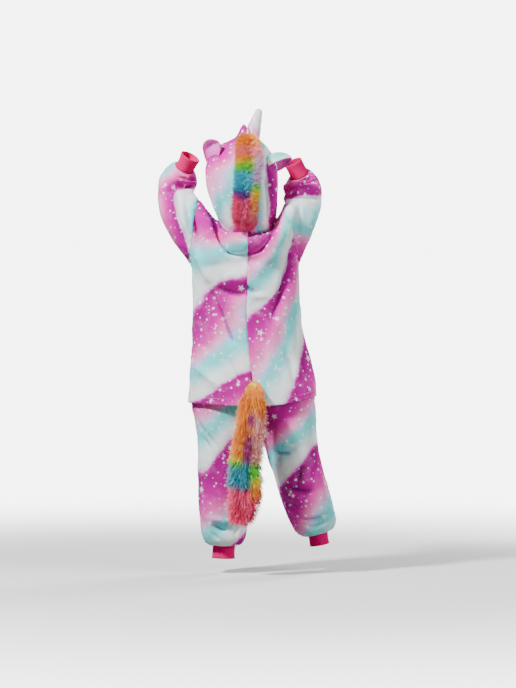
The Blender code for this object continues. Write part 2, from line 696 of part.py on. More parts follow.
def build_surface():
    """Lofts every panel into one surface."""
    surface = Surface()
    trunk_t = np.linspace(0, HEM_T, TRUNK_ROWS + 1)
    fork_t = np.linspace(HEM_T, CROTCH_T, FORK_ROWS + 1)
    across = np.linspace(0, 1, COLS + 1)
    for side, hand in ((1, "left"), (-1, "right")):
        trunk = np.array([trunk_ring(t, side) for t in trunk_t])
        fork = np.array([fork_ring(t, side) for t in fork_t])
        table = LEFT_LEG if side > 0 else RIGHT_LEG
        leg = np.array([leg_ring(at(table, t), side) for t in np.linspace(0, len(table) - 1, LEG_ROWS + 1)])
        down = smooth((trunk_t - HEM_T) / FLAP_ROWS + 1)[:, None]
        stand = FLAP_STAND * down * smooth((1 - across) / FLAP_SIDE_SHARE)[None]
        surface.add(f"back_{hand}", trunk[:, : COLS + 1], side < 0, stand)
        surface.add(f"back_{hand}", upper_panel(side, 1), side > 0)
        surface.add(f"front_{hand}", trunk[:, COLS:], side < 0)
        surface.add(f"front_{hand}", upper_panel(side, -1), side < 0)
        surface.add(f"front_{hand}", fork[:, COLS:], side < 0)
        surface.add(f"front_{hand}", leg[:, COLS:], side < 0)
        tuck = np.array([trunk_ring(TUCK_T, side)[: COLS + 1]])
        seat = np.concatenate([tuck, fork[:, : COLS + 1]])
        inset = np.zeros(seat.shape[:2])
        inset[:2] = -SEAT_INSET
        seat[:2, -1] += (seat[:2, -2] - seat[:2, -1]) * TUCK_CORNER
        surface.add(f"seat_{hand}", seat, side < 0, inset, under_rows=2)
        surface.add(f"seat_{hand}", leg[:, : COLS + 1], side < 0)
        surface.add(f"sleeve_{hand}", sleeve_rows(side), side < 0)
        surface.add(f"hood_{hand}", hood_rows(side), side > 0)
    surface.drape()
    return surface


def collection(name):
    """A collection of that name in the scene."""
    made = bpy.data.collections.new(name)
    bpy.context.scene.collection.children.link(made)
    return made


def material(name, colour, roughness):
    """A plain surface of one colour."""
    made = bpy.data.materials.new(name)
    made.use_nodes = True
    shader = made.node_tree.nodes["Principled BSDF"]
    shader.inputs["Base Color"].default_value = (*colour, 1)
    shader.inputs["Roughness"].default_value = roughness
    shader.inputs["Metallic"].default_value = 0
    return made


def lay(points, faces, tree):
    """Points that are moved out from a surface until their faces are clear of it."""
    points = [Vector(p) for p in points]
    for _ in range(LAY_PASSES):
        cut = {i for face, _ in BVHTree.FromPolygons(points, faces).overlap(tree) for i in faces[face]}
        for i in cut:
            points[i] += tree.find_nearest(points[i])[1] * LAY_STEP
    return points


def new_object(name, points, faces, finish, home, tree=None):
    """An object from points in millimetres and faces that point out, laid clear of what it lies on."""
    points = lay(points, faces, tree) if tree else points
    mesh = bpy.data.meshes.new(name)
    mesh.from_pydata([Vector(p) * MM for p in points], [], faces)
    mesh.materials.append(finish)
    mesh.shade_smooth()
    mesh.set_sharp_from_angle(angle=math.radians(SHARP_EDGE))
    made = bpy.data.objects.new(name, mesh)
    home.objects.link(made)
    return made


def inward(face, edge):
    """The direction in a face's plane that points in from one of its edges."""
    start, end = edge.verts
    across = face.normal.cross(end.co - start.co).normalized()
    return across if across.dot(face.calc_center_median() - start.co) > 0 else -across


def cloth_panel(surface, name, finish, home):
    """One panel as a closed wall: an outer face, an inner face, and a rim clear of the seam."""
    index = surface.names.index(name)
    faces = [f for f in surface.bm.faces if f[surface.panel] == index]
    inside = set(faces)
    verts = sorted({v for f in faces for v in f.verts}, key=lambda v: v.index)
    number = {v: i for i, v in enumerate(verts)}
    count = len(verts)
    edges = {e for f in faces for e in f.edges}
    free = [e for e in edges if len(inside & set(e.link_faces)) == 1]
    rim = [(e, f) for e in free for f in e.link_faces if f in inside]
    pulls = {}
    for edge, face in rim:
        way = inward(face, edge)
        beside = [inward(other, edge) for other in edge.link_faces if other not in inside]
        crease = math.sqrt((1 - way.dot(beside[0])) / 2) if beside else 1
        for vertex in edge.verts:
            pulls.setdefault(vertex, []).append(way / max(crease, SHARPEST_CREASE))
    shift = {}
    for vertex, ways in pulls.items():
        total = sum(ways, Vector())
        spread = max(0.5, 1 + ways[0].normalized().dot(ways[-1].normalized()))
        shift[vertex] = total * (SEAM_GAP / 2 / spread)
    outer = [v.co + shift.get(v, Vector()) for v in verts]
    points = outer + [p - v.normal * WALL for p, v in zip(outer, verts)]
    made = [[number[v] for v in f.verts] for f in faces]
    made += [[number[v] + count for v in reversed(f.verts)] for f in faces]
    for edge, face in rim:
        loop = next(lp for lp in edge.link_loops if lp.face == face)
        a, b = number[loop.vert], number[loop.link_loop_next.vert]
        if a < b:
            made += [[b, a, b + count], [a, a + count, b + count]]
        else:
            made += [[b, a, a + count], [b, a + count, b + count]]
    return new_object(name, points, made, finish, home)


def ring_tube(name, outer, inner, finish, home):
    """A closed tube wall from rings of points, outer and inner, with its two rims."""
    rings, size = len(outer), len(outer[0])
    points = [p for ring in (*outer, *inner[::-1]) for p in ring]
    total = 2 * rings
    faces = []
    for r in range(total):
        for c in range(size):
            after, beside = (r + 1) % total, (c + 1) % size
            faces.append([r * size + c, r * size + beside, after * size + beside, after * size + c])
    return new_object(name, points, faces, finish, home)


def cuff(name, size, finish, home):
    """A rib-knit cuff, ribbed outside and plain inside."""
    start, end = Vector((size.x0, size.y0, size.z0)), Vector((size.x1, size.y1, size.z1))
    axis = (end - start).normalized()
    first = axis.orthogonal().normalized()
    second = axis.cross(first)
    angles = np.linspace(0, 2 * math.pi, 2 * CUFF_RIBS, endpoint=False)
    outer, inner = [], []
    for share in (-CUFF_TUCK / (end - start).length, *CUFF_SHARES):
        centre = start + (end - start) * share
        radius = size.radius0 + (size.radius1 - size.radius0) * max(share, 0)
        for rings, is_outer in ((outer, True), (inner, False)):
            ring = []
            for i, angle in enumerate(angles):
                r = radius - (CUFF_RIB * (i % 2) if is_outer else CUFF_WALL + CUFF_RIB)
                ring.append(centre + first * (r * math.cos(angle)) + second * (r * math.sin(angle)))
            rings.append(ring)
    return ring_tube(name, outer, inner, finish, home)


def sheet(name, grid, depth, wall, finish, home, tree=None, seat=None):
    """A closed wall a depth behind a grid of points; seat moves its first row onto a surface."""
    rows, cols = grid.shape[:2]
    along = np.gradient(grid, axis=0)
    across = np.gradient(grid, axis=1)
    normal = np.cross(across, along)
    normal /= np.linalg.norm(normal, axis=2, keepdims=True)
    front, back = grid - normal * depth, grid - normal * (depth + wall)
    if seat:
        fade = np.linspace(1, 0, rows)[:, None, None] ** EAR_SEAT_FADE
        for face in (front, back):
            face += fade * (np.array([seat(p) for p in face[0]]) - face[0])
    points = [*front.reshape(-1, 3), *back.reshape(-1, 3)]
    faces = []
    count = rows * cols
    for r in range(rows - 1):
        for c in range(cols - 1):
            a = r * cols + c
            faces.append([a, a + 1, a + cols + 1, a + cols])
            faces.append([a + count + cols, a + count + cols + 1, a + count + 1, a + count])
    border = [c for c in range(cols)]
    border += [r * cols + cols - 1 for r in range(1, rows)]
    border += [(rows - 1) * cols + c for c in range(cols - 2, -1, -1)]
    border += [r * cols for r in range(rows - 2, 0, -1)]
    for a, b in zip(border, border[1:] + border[:1]):
        faces.append([b, a, a + count, b + count])
    return new_object(name, points, faces, finish, home, tree)


def ear(name, size, surface, outer_finish, lining_finish, home):
    """An ear's outer and its lining, gathered onto the hood."""
    base = np.array([size.base_x, size.base_y, size.base_z])
    axis = np.array([size.tip_x, size.tip_y, size.tip_z]) - base
    opening = np.array([size.open_x, size.open_y, size.open_z])
    opening = opening - axis * (opening @ axis) / (axis @ axis)
    opening /= np.linalg.norm(opening)
    side = np.cross(opening, axis / np.linalg.norm(axis))
    angle = np.radians(np.linspace(-size.curl, size.curl, EAR_COLS + 1))[None, :, None]
    t = np.linspace(0, EAR_END, EAR_ROWS + 1)[:, None, None]
    fullness = (1 - t**size.point) ** EAR_TIP_POWER * (EAR_BASE_WIDTH + EAR_SPREAD * t)
    wide, deep = size.half_width * fullness, size.depth * fullness
    cup = base + axis * t + side * wide * np.sin(angle) - opening * deep * np.cos(angle)

    def seat(point):
        """Moves a point of the base onto the hood."""
        place, normal = surface.tree.find_nearest(Vector(point))[:2]
        return np.array(place + normal * EAR_SEAT_GAP)

    sheet(f"ear_{name}", cup, 0, EAR_WALL, outer_finish, home, surface.tree, seat)
    inset = EAR_WALL + LYING_GAP * 2
    sheet(f"ear_lining_{name}", cup, inset, EAR_WALL, lining_finish, home, surface.tree, seat)


def capped_tube(name, rings, finish, home, start, end, tree=None):
    """A closed body from rings of points, with a middle point at its start and at its end."""
    size = len(rings[0])
    points = [start, *(p for ring in rings for p in ring), end]
    faces = [[0, 1 + (c + 1) % size, 1 + c] for c in range(size)]
    for r in range(len(rings) - 1):
        low, high = 1 + r * size, 1 + (r + 1) * size
        for c in range(size):
            beside = (c + 1) % size
            faces.append([low + c, low + beside, high + beside, high + c])
    low, last = 1 + (len(rings) - 1) * size, len(points) - 1
    faces += [[low + c, low + (c + 1) % size, last] for c in range(size)]
    return new_object(name, points, faces, finish, home, tree)


def horn(surface, finish, home):
    """The padded horn, with a shallow spiral, standing on the hood."""
    base, tip = Vector(HORN_BASE), Vector(HORN_TIP)
    axis = (tip - base).normalized()
    first = axis.orthogonal().normalized()
    second = axis.cross(first)

    def on_hood(point):
        """The place on the hood below a point, along the horn."""
        hit = surface.tree.ray_cast(point + axis * HORN_RADIUS * 3, -axis)[0]
        return hit + axis * HORN_SEAT_GAP

    turns = [2 * math.pi * i / HORN_SIDES for i in range(HORN_SIDES)]
    outs = [first * math.cos(turn) + second * math.sin(turn) for turn in turns]
    foot = [on_hood(base + out * HORN_RADIUS) for out in outs]
    head = [tip + out * HORN_TIP_RADIUS for out in outs]
    rings = []
    for k in range(HORN_RINGS + 1):
        t = k / HORN_RINGS
        grooves = [(1 - math.cos(turn * HORN_STARTS + 2 * math.pi * HORN_TWIST * t)) / 2 for turn in turns]
        depth = HORN_GROOVE * smooth(t / HORN_PLAIN_SHARE)
        rings.append([a.lerp(b, t) - out * depth * g for a, b, out, g in zip(foot, head, outs, grooves)])
    rise = axis * HORN_TIP_RADIUS
    dome = [tip + (p - tip) * HORN_DOME_WIDTH + rise * HORN_DOME_RISE for p in rings[-1]]
    end = tip + rise * HORN_END_RISE
    capped_tube("horn", [*rings, dome], finish, home, on_hood(base), end, surface.tree)


def crest_line(surface):
    """The hood's crest from nape to face, as points and the arch that each lies on."""
    halves = [surface.names.index("hood_left"), surface.names.index("hood_right")]
    crest = [
        v
        for v in surface.bm.verts
        if {f[surface.panel] for f in v.link_faces} >= set(halves) and v.co.y > CREST_START_Y
    ]
    wanted = [Vector(p) for p in hood_rows(1)[:, 0]]
    line = [min(crest, key=lambda v: (v.co - w).length).co for w in wanted]
    return np.array(line)


def mane(surface, finish, home):
    """The mane's strip of long fur, lying along the hood's crest."""
    line = crest_line(surface)
    arches = np.linspace(0, len(HOOD) - 1, len(line))
    places = np.linspace(0, 1, MANE_ROWS + 1)
    rings = []
    for share in places:
        size = at(MANE, share * (len(MANE) - 1))
        middle = Vector([np.interp(size.arch, arches, line[:, i]) for i in range(3)])
        spots = [c / (MANE_COLS / 2) - 1 for c in range(MANE_COLS + 1)]
        bottom = []
        for u in spots:
            aim = middle + Vector((u * size.half_width, 0, 0))
            place, normal = surface.tree.find_nearest(aim)[:2]
            bottom.append((place + normal * FUR_SEAT_GAP, normal, u))
        ring = [p for p, _, _ in bottom]
        for place, normal, u in reversed(bottom):
            rise = size.height * (MANE_EDGE + (1 - MANE_EDGE) * math.sqrt(1 - u * u))
            ring.append(place + normal * rise)
        rings.append(ring)
    start = sum(rings[0], Vector()) / len(rings[0])
    end = sum(rings[-1], Vector()) / len(rings[-1])
    capped_tube("mane", rings, finish, home, start, end, surface.tree)


def tail(surface, finish, home):
    """The tail's long fur, sewn to the middle of the back above the hem."""
    root = at(TAIL, 0)

    def on_back(x, z):
        """A place on the back."""
        hit = surface.tree.ray_cast(Vector((x, FAR_OFF, z)), Vector((0, -1, 0)))[0]
        return hit + Vector((0, FUR_SEAT_GAP, 0))

    rings = []
    angles = [-2 * math.pi * i / TAIL_SIDES for i in range(TAIL_SIDES)]
    for share in TAIL_ROOT_RINGS:
        radius = TAIL_ROOT_RADIUS * share
        rings.append([on_back(root.x + radius * math.cos(a), root.z + radius * math.sin(a)) for a in angles])
    last = len(TAIL) - 1
    for k in range(TAIL_RINGS + 1):
        t = k / TAIL_RINGS * last
        here = at(TAIL, t)
        ahead, behind = at(TAIL, min(t + TAIL_STEP, last)), at(TAIL, max(t - TAIL_STEP, 0))
        forward = (Vector(ahead[:3]) - Vector(behind[:3])).normalized()
        across = Vector((1, 0, 0))
        up = across.cross(forward).normalized()
        ring = []
        for a in angles:
            lock = 1 - TAIL_LOCK_DEPTH * (1 - math.cos(TAIL_LOCKS * a + TAIL_LOCK_TURN * t)) / 2
            ring.append(
                Vector(here[:3])
                + across * (here.across * lock * math.cos(a))
                + up * (here.deep * lock * math.sin(a))
            )
        rings.append(ring)
    end = Vector(at(TAIL, last)[:3]) - Vector((0, 0, TAIL_END_DROP))
    capped_tube("tail", rings, finish, home, on_back(root.x, root.z), end, surface.tree)


def front_centre(surface, z):
    """Where centre front lies at height z."""
    mid = [
        v.co
        for v in surface.bm.verts
        if {f[surface.panel] for f in v.link_faces}
        == {surface.names.index("front_left"), surface.names.index("front_right")}
    ]
    mid.sort(key=lambda p: p.z)
    return float(np.interp(z, [p.z for p in mid], [p.x for p in mid]))


def placket(surface, band_finish, button_finish, home):
    """The band that covers the front opening, with its buttons done up."""

    def on_front(x, z, gap):
        """A place in front of the panels and square to them."""
        hit, normal = surface.tree.ray_cast(Vector((x, -FAR_OFF, z)), Vector((0, 1, 0)))[:2]
        return hit + normal * gap, normal

    rows = []
    for z in np.linspace(PLACKET_TOP_Z, PLACKET_END_Z, PLACKET_ROWS + 1):
        x = front_centre(surface, z)
        spots = np.linspace(PLACKET_HALF_WIDTH, -PLACKET_HALF_WIDTH, PLACKET_COLS + 1)
        rows.append([on_front(x + u, z, PLACKET_WALL + LYING_GAP * 2)[0] for u in spots])
    band = sheet("placket", np.array(rows), 0, PLACKET_WALL, band_finish, home, surface.tree)
    corners = [v.co / MM for v in band.data.vertices]
    band_tree = BVHTree.FromPolygons(corners, [p.vertices for p in band.data.polygons])
    for number in range(BUTTONS):
        share = (number + 0.5) / BUTTONS
        z = PLACKET_TOP_Z + (PLACKET_END_Z - PLACKET_TOP_Z) * share
        x = front_centre(surface, z)
        centre, normal = on_front(x, z, 0)
        first = normal.orthogonal().normalized()
        second = normal.cross(first)
        turns = [2 * math.pi * i / BUTTON_SIDES for i in range(BUTTON_SIDES)]
        outs = [first * math.cos(turn) + second * math.sin(turn) for turn in turns]
        under = [centre + out * BUTTON_RADIUS * part for out in outs for part in (0, 0.5, 1)]
        hits = [band_tree.ray_cast(p + normal * PLACKET_HALF_WIDTH, -normal)[0] for p in under]
        centre += normal * (max((hit - centre).dot(normal) for hit in hits) + LYING_GAP)
        rings = [
            [centre + out * BUTTON_RADIUS * row.radius + normal * BUTTON_THICK * row.height for out in outs]
            for row in BUTTON_PROFILE
        ]
        end = centre + normal * BUTTON_THICK * BUTTON_PROFILE[-1].height
        capped_tube(f"button_{number + 1}", rings, button_finish, home, centre, end)


def clear_scene():
    """Takes away what the startup scene holds."""
    for obj in list(bpy.data.objects):
        bpy.data.objects.remove(obj)


def main():
    """Builds every piece of the onesie."""
    clear_scene()
    home = collection("unicorn_onesie")
    print_fleece = material("print_fleece", (0.86, 0.42, 0.72), 0.9)
    rib_knit = material("rib_knit", (0.93, 0.05, 0.27), 0.85)
    lining_fleece = material("lining_fleece", (0.84, 0.2, 0.71), 0.9)
    horn_cloth = material("horn_cloth", (0.8, 0.76, 0.82), 0.45)
    long_fur = material("long_fur", (0.95, 0.35, 0.3), 0.9)
    button_plastic = material("button_plastic", (0.9, 0.3, 0.6), 0.3)
    surface = build_surface()
    for name in surface.names:
        cloth_panel(surface, name, print_fleece, home)
    for name, size in CUFFS.items():
        cuff(name, size, rib_knit, home)
    for name, size in EARS.items():
        ear(name, size, surface, print_fleece, lining_fleece, home)
    horn(surface, horn_cloth, home)
    mane(surface, long_fur, home)
    tail(surface, long_fur, home)
    placket(surface, print_fleece, button_plastic, home)


main()
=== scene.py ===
"""Looks of the unicorn onesie: plush cloth in a shaded print, rib cuffs, rainbow fur and a padded horn.

The cloth is lofted again from the garment's cut, in millimetres and finer than its solids. It is draped
with the same folds and with finer creases, and parted along its seams into the pieces that stand for the
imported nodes. Everything else is sewn onto that cloth.
"""

import sys

import logging
import math
from dataclasses import dataclass, field
from enum import Enum
from typing import NamedTuple

import bmesh
import bpy
import numpy as np
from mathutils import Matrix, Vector
from mathutils.bvhtree import BVHTree
from mathutils.kdtree import KDTree


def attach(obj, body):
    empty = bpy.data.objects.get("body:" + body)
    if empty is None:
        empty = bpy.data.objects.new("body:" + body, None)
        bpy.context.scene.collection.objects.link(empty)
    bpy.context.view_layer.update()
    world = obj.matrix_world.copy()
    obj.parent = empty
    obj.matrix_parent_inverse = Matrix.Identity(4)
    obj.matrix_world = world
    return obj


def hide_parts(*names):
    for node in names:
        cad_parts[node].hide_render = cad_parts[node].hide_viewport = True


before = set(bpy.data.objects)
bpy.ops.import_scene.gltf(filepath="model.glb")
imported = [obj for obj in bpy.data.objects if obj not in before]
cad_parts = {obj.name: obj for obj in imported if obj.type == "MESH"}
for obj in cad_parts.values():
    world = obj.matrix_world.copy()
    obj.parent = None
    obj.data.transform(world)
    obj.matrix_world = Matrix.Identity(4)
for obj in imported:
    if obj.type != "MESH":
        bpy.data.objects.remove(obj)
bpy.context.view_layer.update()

LOG = logging.getLogger("onesie")
MM = 0.001
KEY_SHIFT = 0.013  # keeps a shared point's two values on the same side of a tenth
BODY = "root"
Colour = tuple[float, float, float]
Faces = list[list[int]]
Socket = bpy.types.NodeSocket
Finish = bpy.types.Material
Piece = bpy.types.Object
HEM_FROM_Z = -440  # free edges of the back panels above this aren't the hem
RAY_START = 400  # how far out rays towards the garment start


def table(kind: type, *rows: tuple) -> tuple:
    """Rows of a NamedTuple class from plain rows of its columns."""
    return tuple(kind(*row) for row in rows)


# ---------------------------------------------------------------- the garment's cut, in millimetres


class TrunkSection(NamedTuple):
    """Reach of the trunk to its left and right, back and front at height z, and where centre back lies."""

    z: float
    left: float
    right: float
    back: float
    front: float
    seam_x: float
    left_rise: float
    right_rise: float


TRUNK = table(
    TrunkSection,  # z, left, right, back, front, seam_x, left_rise, right_rise
    (-110, 166, 149, 96, 98, -2, 0, 0),
    (-150, 164, 149, 98, 102, 0, 0, 0),
    (-200, 161, 151, 97, 104, 2, 0, 0),
    (-265, 163, 155, 95, 104, 3, 0, 0),
    (-320, 163, 165, 98, 104, 0, 0, 0),
    (-370, 166, 179, 105, 106, -5, 2, 6),
    (-420, 170, 190, 113, 108, -12, 5, 15),
    (-470, 171, 196, 119, 108, -18, 7, 24),
    (-513, 169, 196, 121, 107, -23, 8, 28),
    (-550, 161, 196, 118, 105, -27, 4, 14),
    (-590, 154, 199, 110, 102, -29, 0, 0),
)


class LegSection(NamedTuple):
    """Centre of a leg and its half width and half depth; tilt turns the ring, outer side up."""

    x: float
    y: float
    z: float
    across: float
    deep: float
    tilt: float


LEFT_LEG = table(
    LegSection,  # x, y, z, across, deep, tilt
    (61.5, 2, -590, 90.5, 101, 0),
    (63, 4, -640, 85, 90, 0),
    (66, 5, -700, 82, 83, 0),
    (69, 2, -760, 78, 78, 0),
    (70, -2, -820, 74, 75, 0),
    (70, -4, -868, 69, 73, 0),
    (69, -4, -900, 65, 68, 0),
    (69, -4, -919, 50, 54, 0),
    (70, -4, -920, 34, 37, 0),
)
RIGHT_LEG = table(
    LegSection,  # x, y, z, across, deep, tilt
    (-114.5, 2, -590, 85.5, 101, 0),
    (-128, 2, -640, 79, 90, 0),
    (-144, -2, -700, 76, 83, 2),
    (-162, -8, -760, 75, 78, 4),
    (-180, -14, -820, 73, 74, 6),
    (-191, -18, -852, 68, 70, 9),
    (-196, -20, -873, 60, 62, 12),
    (-201, -21, -886, 46, 50, 14),
    (-203, -21, -888, 30, 33, 14),
)


class SleeveSection(NamedTuple):
    """A ring of a sleeve, from its outer and lower edge to its inner edge, and its half depth."""

    out_x: float
    out_z: float
    in_x: float
    in_z: float
    y: float
    deep: float


LEFT_SLEEVE = table(
    SleeveSection,  # out_x, out_z, in_x, in_z, y, deep
    (163, -110, 147, 92, -4, 84),
    (205, -62, 150, 96, -9, 82),
    (238, -12, 154, 99, -24, 79),
    (258, 38, 157, 103, -45, 73),
    (266, 78, 160, 107, -66, 67),
    (266, 104, 160, 111, -80, 60),
    (265, 128, 154, 119, -89, 61),
    (263, 150, 149, 129, -94, 59),
    (254, 168, 147, 137, -95, 54),
    (240, 184, 150, 146, -91, 47),
    (226, 192.6, 154.7, 152.4, -85, 40),
    (213.5, 194.4, 159.5, 164.6, -80, 31),
)
RIGHT_SLEEVE = table(
    SleeveSection,  # out_x, out_z, in_x, in_z, y, deep
    (-149, -110, -108, 77, -3, 84),
    (-168, -66, -108, 82, -6, 80),
    (-186, -20, -105, 86, -18, 77),
    (-204, 24, -103, 91, -37, 72),
    (-216, 62, -104, 97, -57, 67),
    (-217, 92, -108, 103, -72, 60),
    (-218, 113, -102, 112, -81, 60),
    (-216, 132, -100, 121, -87, 57),
    (-210, 148, -101, 129, -88, 52),
    (-200, 161, -108, 134, -87, 46),
    (-188.5, 170.2, -116.5, 135.4, -84, 39),
    (-176.9, 173.5, -121.1, 146.5, -79, 31),
)


class Place(NamedTuple):
    """A place on the garment."""

    x: float
    y: float
    z: float


LEFT_SHOULDER = table(
    Place,  # x, y, z
    (82, -4, 22),
    (95, -2, 29),
    (110, -2, 45),
    (128, -5, 71),
    (147, -8, 92),
)
RIGHT_SHOULDER = table(
    Place,  # x, y, z
    (-82, -4, 30),
    (-89, -2, 40),
    (-95, -2, 52),
    (-101, -4, 65),
    (-108, -6, 77),
)


class Side(Enum):
    """A side of the wearer."""

    LEFT = 1
    RIGHT = -1

    @property
    def hand(self) -> str:
        """The side's name as the nodes have it."""
        return self.name.lower()


LEGS = {Side.LEFT: LEFT_LEG, Side.RIGHT: RIGHT_LEG}
SLEEVES = {Side.LEFT: LEFT_SLEEVE, Side.RIGHT: RIGHT_SLEEVE}
SHOULDERS = {Side.LEFT: LEFT_SHOULDER, Side.RIGHT: RIGHT_SHOULDER}


class HoodArch(NamedTuple):
    """An arch of the hood from its centre seam down to the neck, from nape to face."""

    crest_x: float
    crest_y: float
    crest_z: float
    left: float
    right: float


HOOD = table(
    HoodArch,  # crest_x, crest_y, crest_z, left, right
    (0, 62, -14, 0, 0),
    (12, 86, 24, 27, 12),
    (6, 104, 85, 44, 16),
    (-4, 102, 158, 52, 14),
    (-5, 74, 222, 56, 14),
    (2, 24, 257, 61, 18),
    (2, -32, 270, 66, 26),
    (4, -82, 244, 70, 38),
    (4, -112, 200, 70, 48),
)


class Face(Enum):
    """Which way the cloth that a fold lies in looks."""

    BACK = 1
    FRONT = -1


def put_in(name: str, data: bpy.types.ID) -> Piece:
    """A new object in the scene that holds a mesh, a light or a camera."""
    made = bpy.data.objects.new(name, data)
    bpy.context.scene.collection.objects.link(made)
    return made


def circle(axis: Vector, turns: np.ndarray | list[float]) -> list[Vector]:
    """Directions straight away from an axis at the given turns round it."""
    first = axis.orthogonal().normalized()
    second = axis.cross(first)
    return [first * math.cos(turn) + second * math.sin(turn) for turn in turns]


def smooth(share: np.ndarray | float) -> np.ndarray:
    """0 to 1 with a level start and end."""
    share = np.clip(share, 0, 1)
    return share * share * (3 - 2 * share)


def power(value: np.ndarray, exponent: float) -> np.ndarray:
    """A power that keeps the sign."""
    return np.sign(value) * np.abs(value) ** exponent


def row_at(sections: tuple, t: float) -> tuple:
    """The row at place t of a table, on a smooth curve through its rows.

    Args:
        sections: Rows of one NamedTuple class.
        t: Place, counted in rows.

    Returns:
        A row of the same class.
    """
    rows = np.array(sections, float)
    last = len(rows) - 1
    i = min(max(math.floor(t), 0), last - 1)
    f = t - i
    start, end = rows[i], rows[i + 1]
    leave = (end - rows[max(i - 1, 0)]) / 2
    arrive = (rows[min(i + 2, last)] - start) / 2
    value = (
        start * (2 * f**3 - 3 * f**2 + 1) + leave * (f**3 - 2 * f**2 + f) + end * (3 * f**2 - 2 * f**3)
        + arrive * (f**3 - f**2)
    )
    return type(sections[0])(*value)


def span(bottom: np.ndarray, top: np.ndarray, first: np.ndarray, last: np.ndarray) -> np.ndarray:
    """A sheet spanned by four edges.

    Args:
        bottom: Edge along the columns at the first row.
        top: Edge along the columns at the last row.
        first: Edge up the rows at the first column.
        last: Edge up the rows at the last column.

    Returns:
        Points as rows and columns.
    """
    u = np.linspace(0, 1, len(bottom))[None, :, None]
    v = np.linspace(0, 1, len(first))[:, None, None]
    between = (1 - v) * bottom[None] + v * top[None] + (1 - u) * first[:, None] + u * last[:, None]
    corners = (1 - v) * ((1 - u) * bottom[0] + u * bottom[-1]) + v * ((1 - u) * top[0] + u * top[-1])
    return between - corners


def flat_lengths(rows: np.ndarray, level_row: int) -> np.ndarray:
    """Where each point of a panel lies on the uncut cloth, measured along its rows and columns.

    Args:
        rows: Points as rows and columns.
        level_row: The row that is straight on the cloth.

    Returns:
        Two lengths for each point.
    """
    across = np.linalg.norm(np.diff(rows, axis=1), axis=2)
    down = np.linalg.norm(np.diff(rows, axis=0), axis=2)
    u = np.concatenate([np.zeros((len(rows), 1)), across.cumsum(axis=1)], axis=1)
    v = np.concatenate([np.zeros((1, rows.shape[1])), down.cumsum(axis=0)], axis=0)
    return np.stack([u, v[level_row] - v], axis=2)


def spread_flat(places: np.ndarray, faces: np.ndarray, start: np.ndarray, passes: int = 40) -> np.ndarray:
    """Spreads a curved piece out flat with as little stretch as it allows.

    Args:
        places: Its points in space.
        faces: Its triangles.
        start: A first guess at where the points lie when flat.
        passes: How often the guess is bettered.

    Returns:
        Where the points lie when flat.
    """
    corners = places[faces]
    base, side = corners[:, 1] - corners[:, 0], corners[:, 2] - corners[:, 0]
    width = np.maximum(np.linalg.norm(base, axis=1), 1e-7)
    across = (base * side).sum(axis=1) / width
    height = np.sqrt(np.maximum((side**2).sum(axis=1) - across**2, 1e-14))
    own = np.zeros((len(faces), 3, 2))
    own[:, 1, 0], own[:, 2, 0], own[:, 2, 1] = width, across, height
    guess = start[faces]
    turned = np.cross(guess[:, 1] - guess[:, 0], guess[:, 2] - guess[:, 0]).sum() < 0
    own[:, 2, 1] *= -1 if turned else 1
    count = len(places)
    system = np.eye(count) * 1e-9
    edges, weights = ((0, 1), (1, 2), (2, 0)), []
    rests = [own[:, first] - own[:, second] for first, second in edges]
    for first, second in edges:
        third = 3 - first - second
        one, two = own[:, first] - own[:, third], own[:, second] - own[:, third]
        area = np.abs(one[:, 0] * two[:, 1] - one[:, 1] * two[:, 0])
        weight = np.clip((one * two).sum(axis=1) / np.maximum(area, 1e-12), 0.05, 5)
        weights.append(weight)
        a, b = faces[:, first], faces[:, second]
        for row, column, sign in ((a, a, 1), (b, b, 1), (a, b, -1), (b, a, -1)):
            np.add.at(system, (row, column), sign * weight)
    solve = np.linalg.inv(system)
    flat = start.copy()
    for _ in range(passes):
        spun = np.zeros((len(faces), 2))
        for (first, second), rest, weight in zip(edges, rests, weights):
            step = flat[faces[:, first]] - flat[faces[:, second]]
            spun[:, 0] += weight * (step * rest).sum(axis=1)
            spun[:, 1] += weight * (rest[:, 0] * step[:, 1] - rest[:, 1] * step[:, 0])
        spun /= np.maximum(np.linalg.norm(spun, axis=1, keepdims=True), 1e-12)
        pull = np.zeros((count, 2))
        for (first, second), rest, weight in zip(edges, rests, weights):
            x = rest[:, 0] * spun[:, 0] - rest[:, 1] * spun[:, 1]
            y = rest[:, 0] * spun[:, 1] + rest[:, 1] * spun[:, 0]
            way = weight[:, None] * np.stack([x, y], axis=1)
            np.add.at(pull, faces[:, first], way)
            np.add.at(pull, faces[:, second], -way)
        flat = solve @ pull
        flat -= flat.mean(axis=0) - start.mean(axis=0)
    return flat


@dataclass
class PanelGrid:
    """A panel as rows and columns of points, before it is draped."""

    name: str
    rows: np.ndarray
    flip: bool
    level_row: int = 0
    under_rows: int = 0
    lifts: np.ndarray | None = None


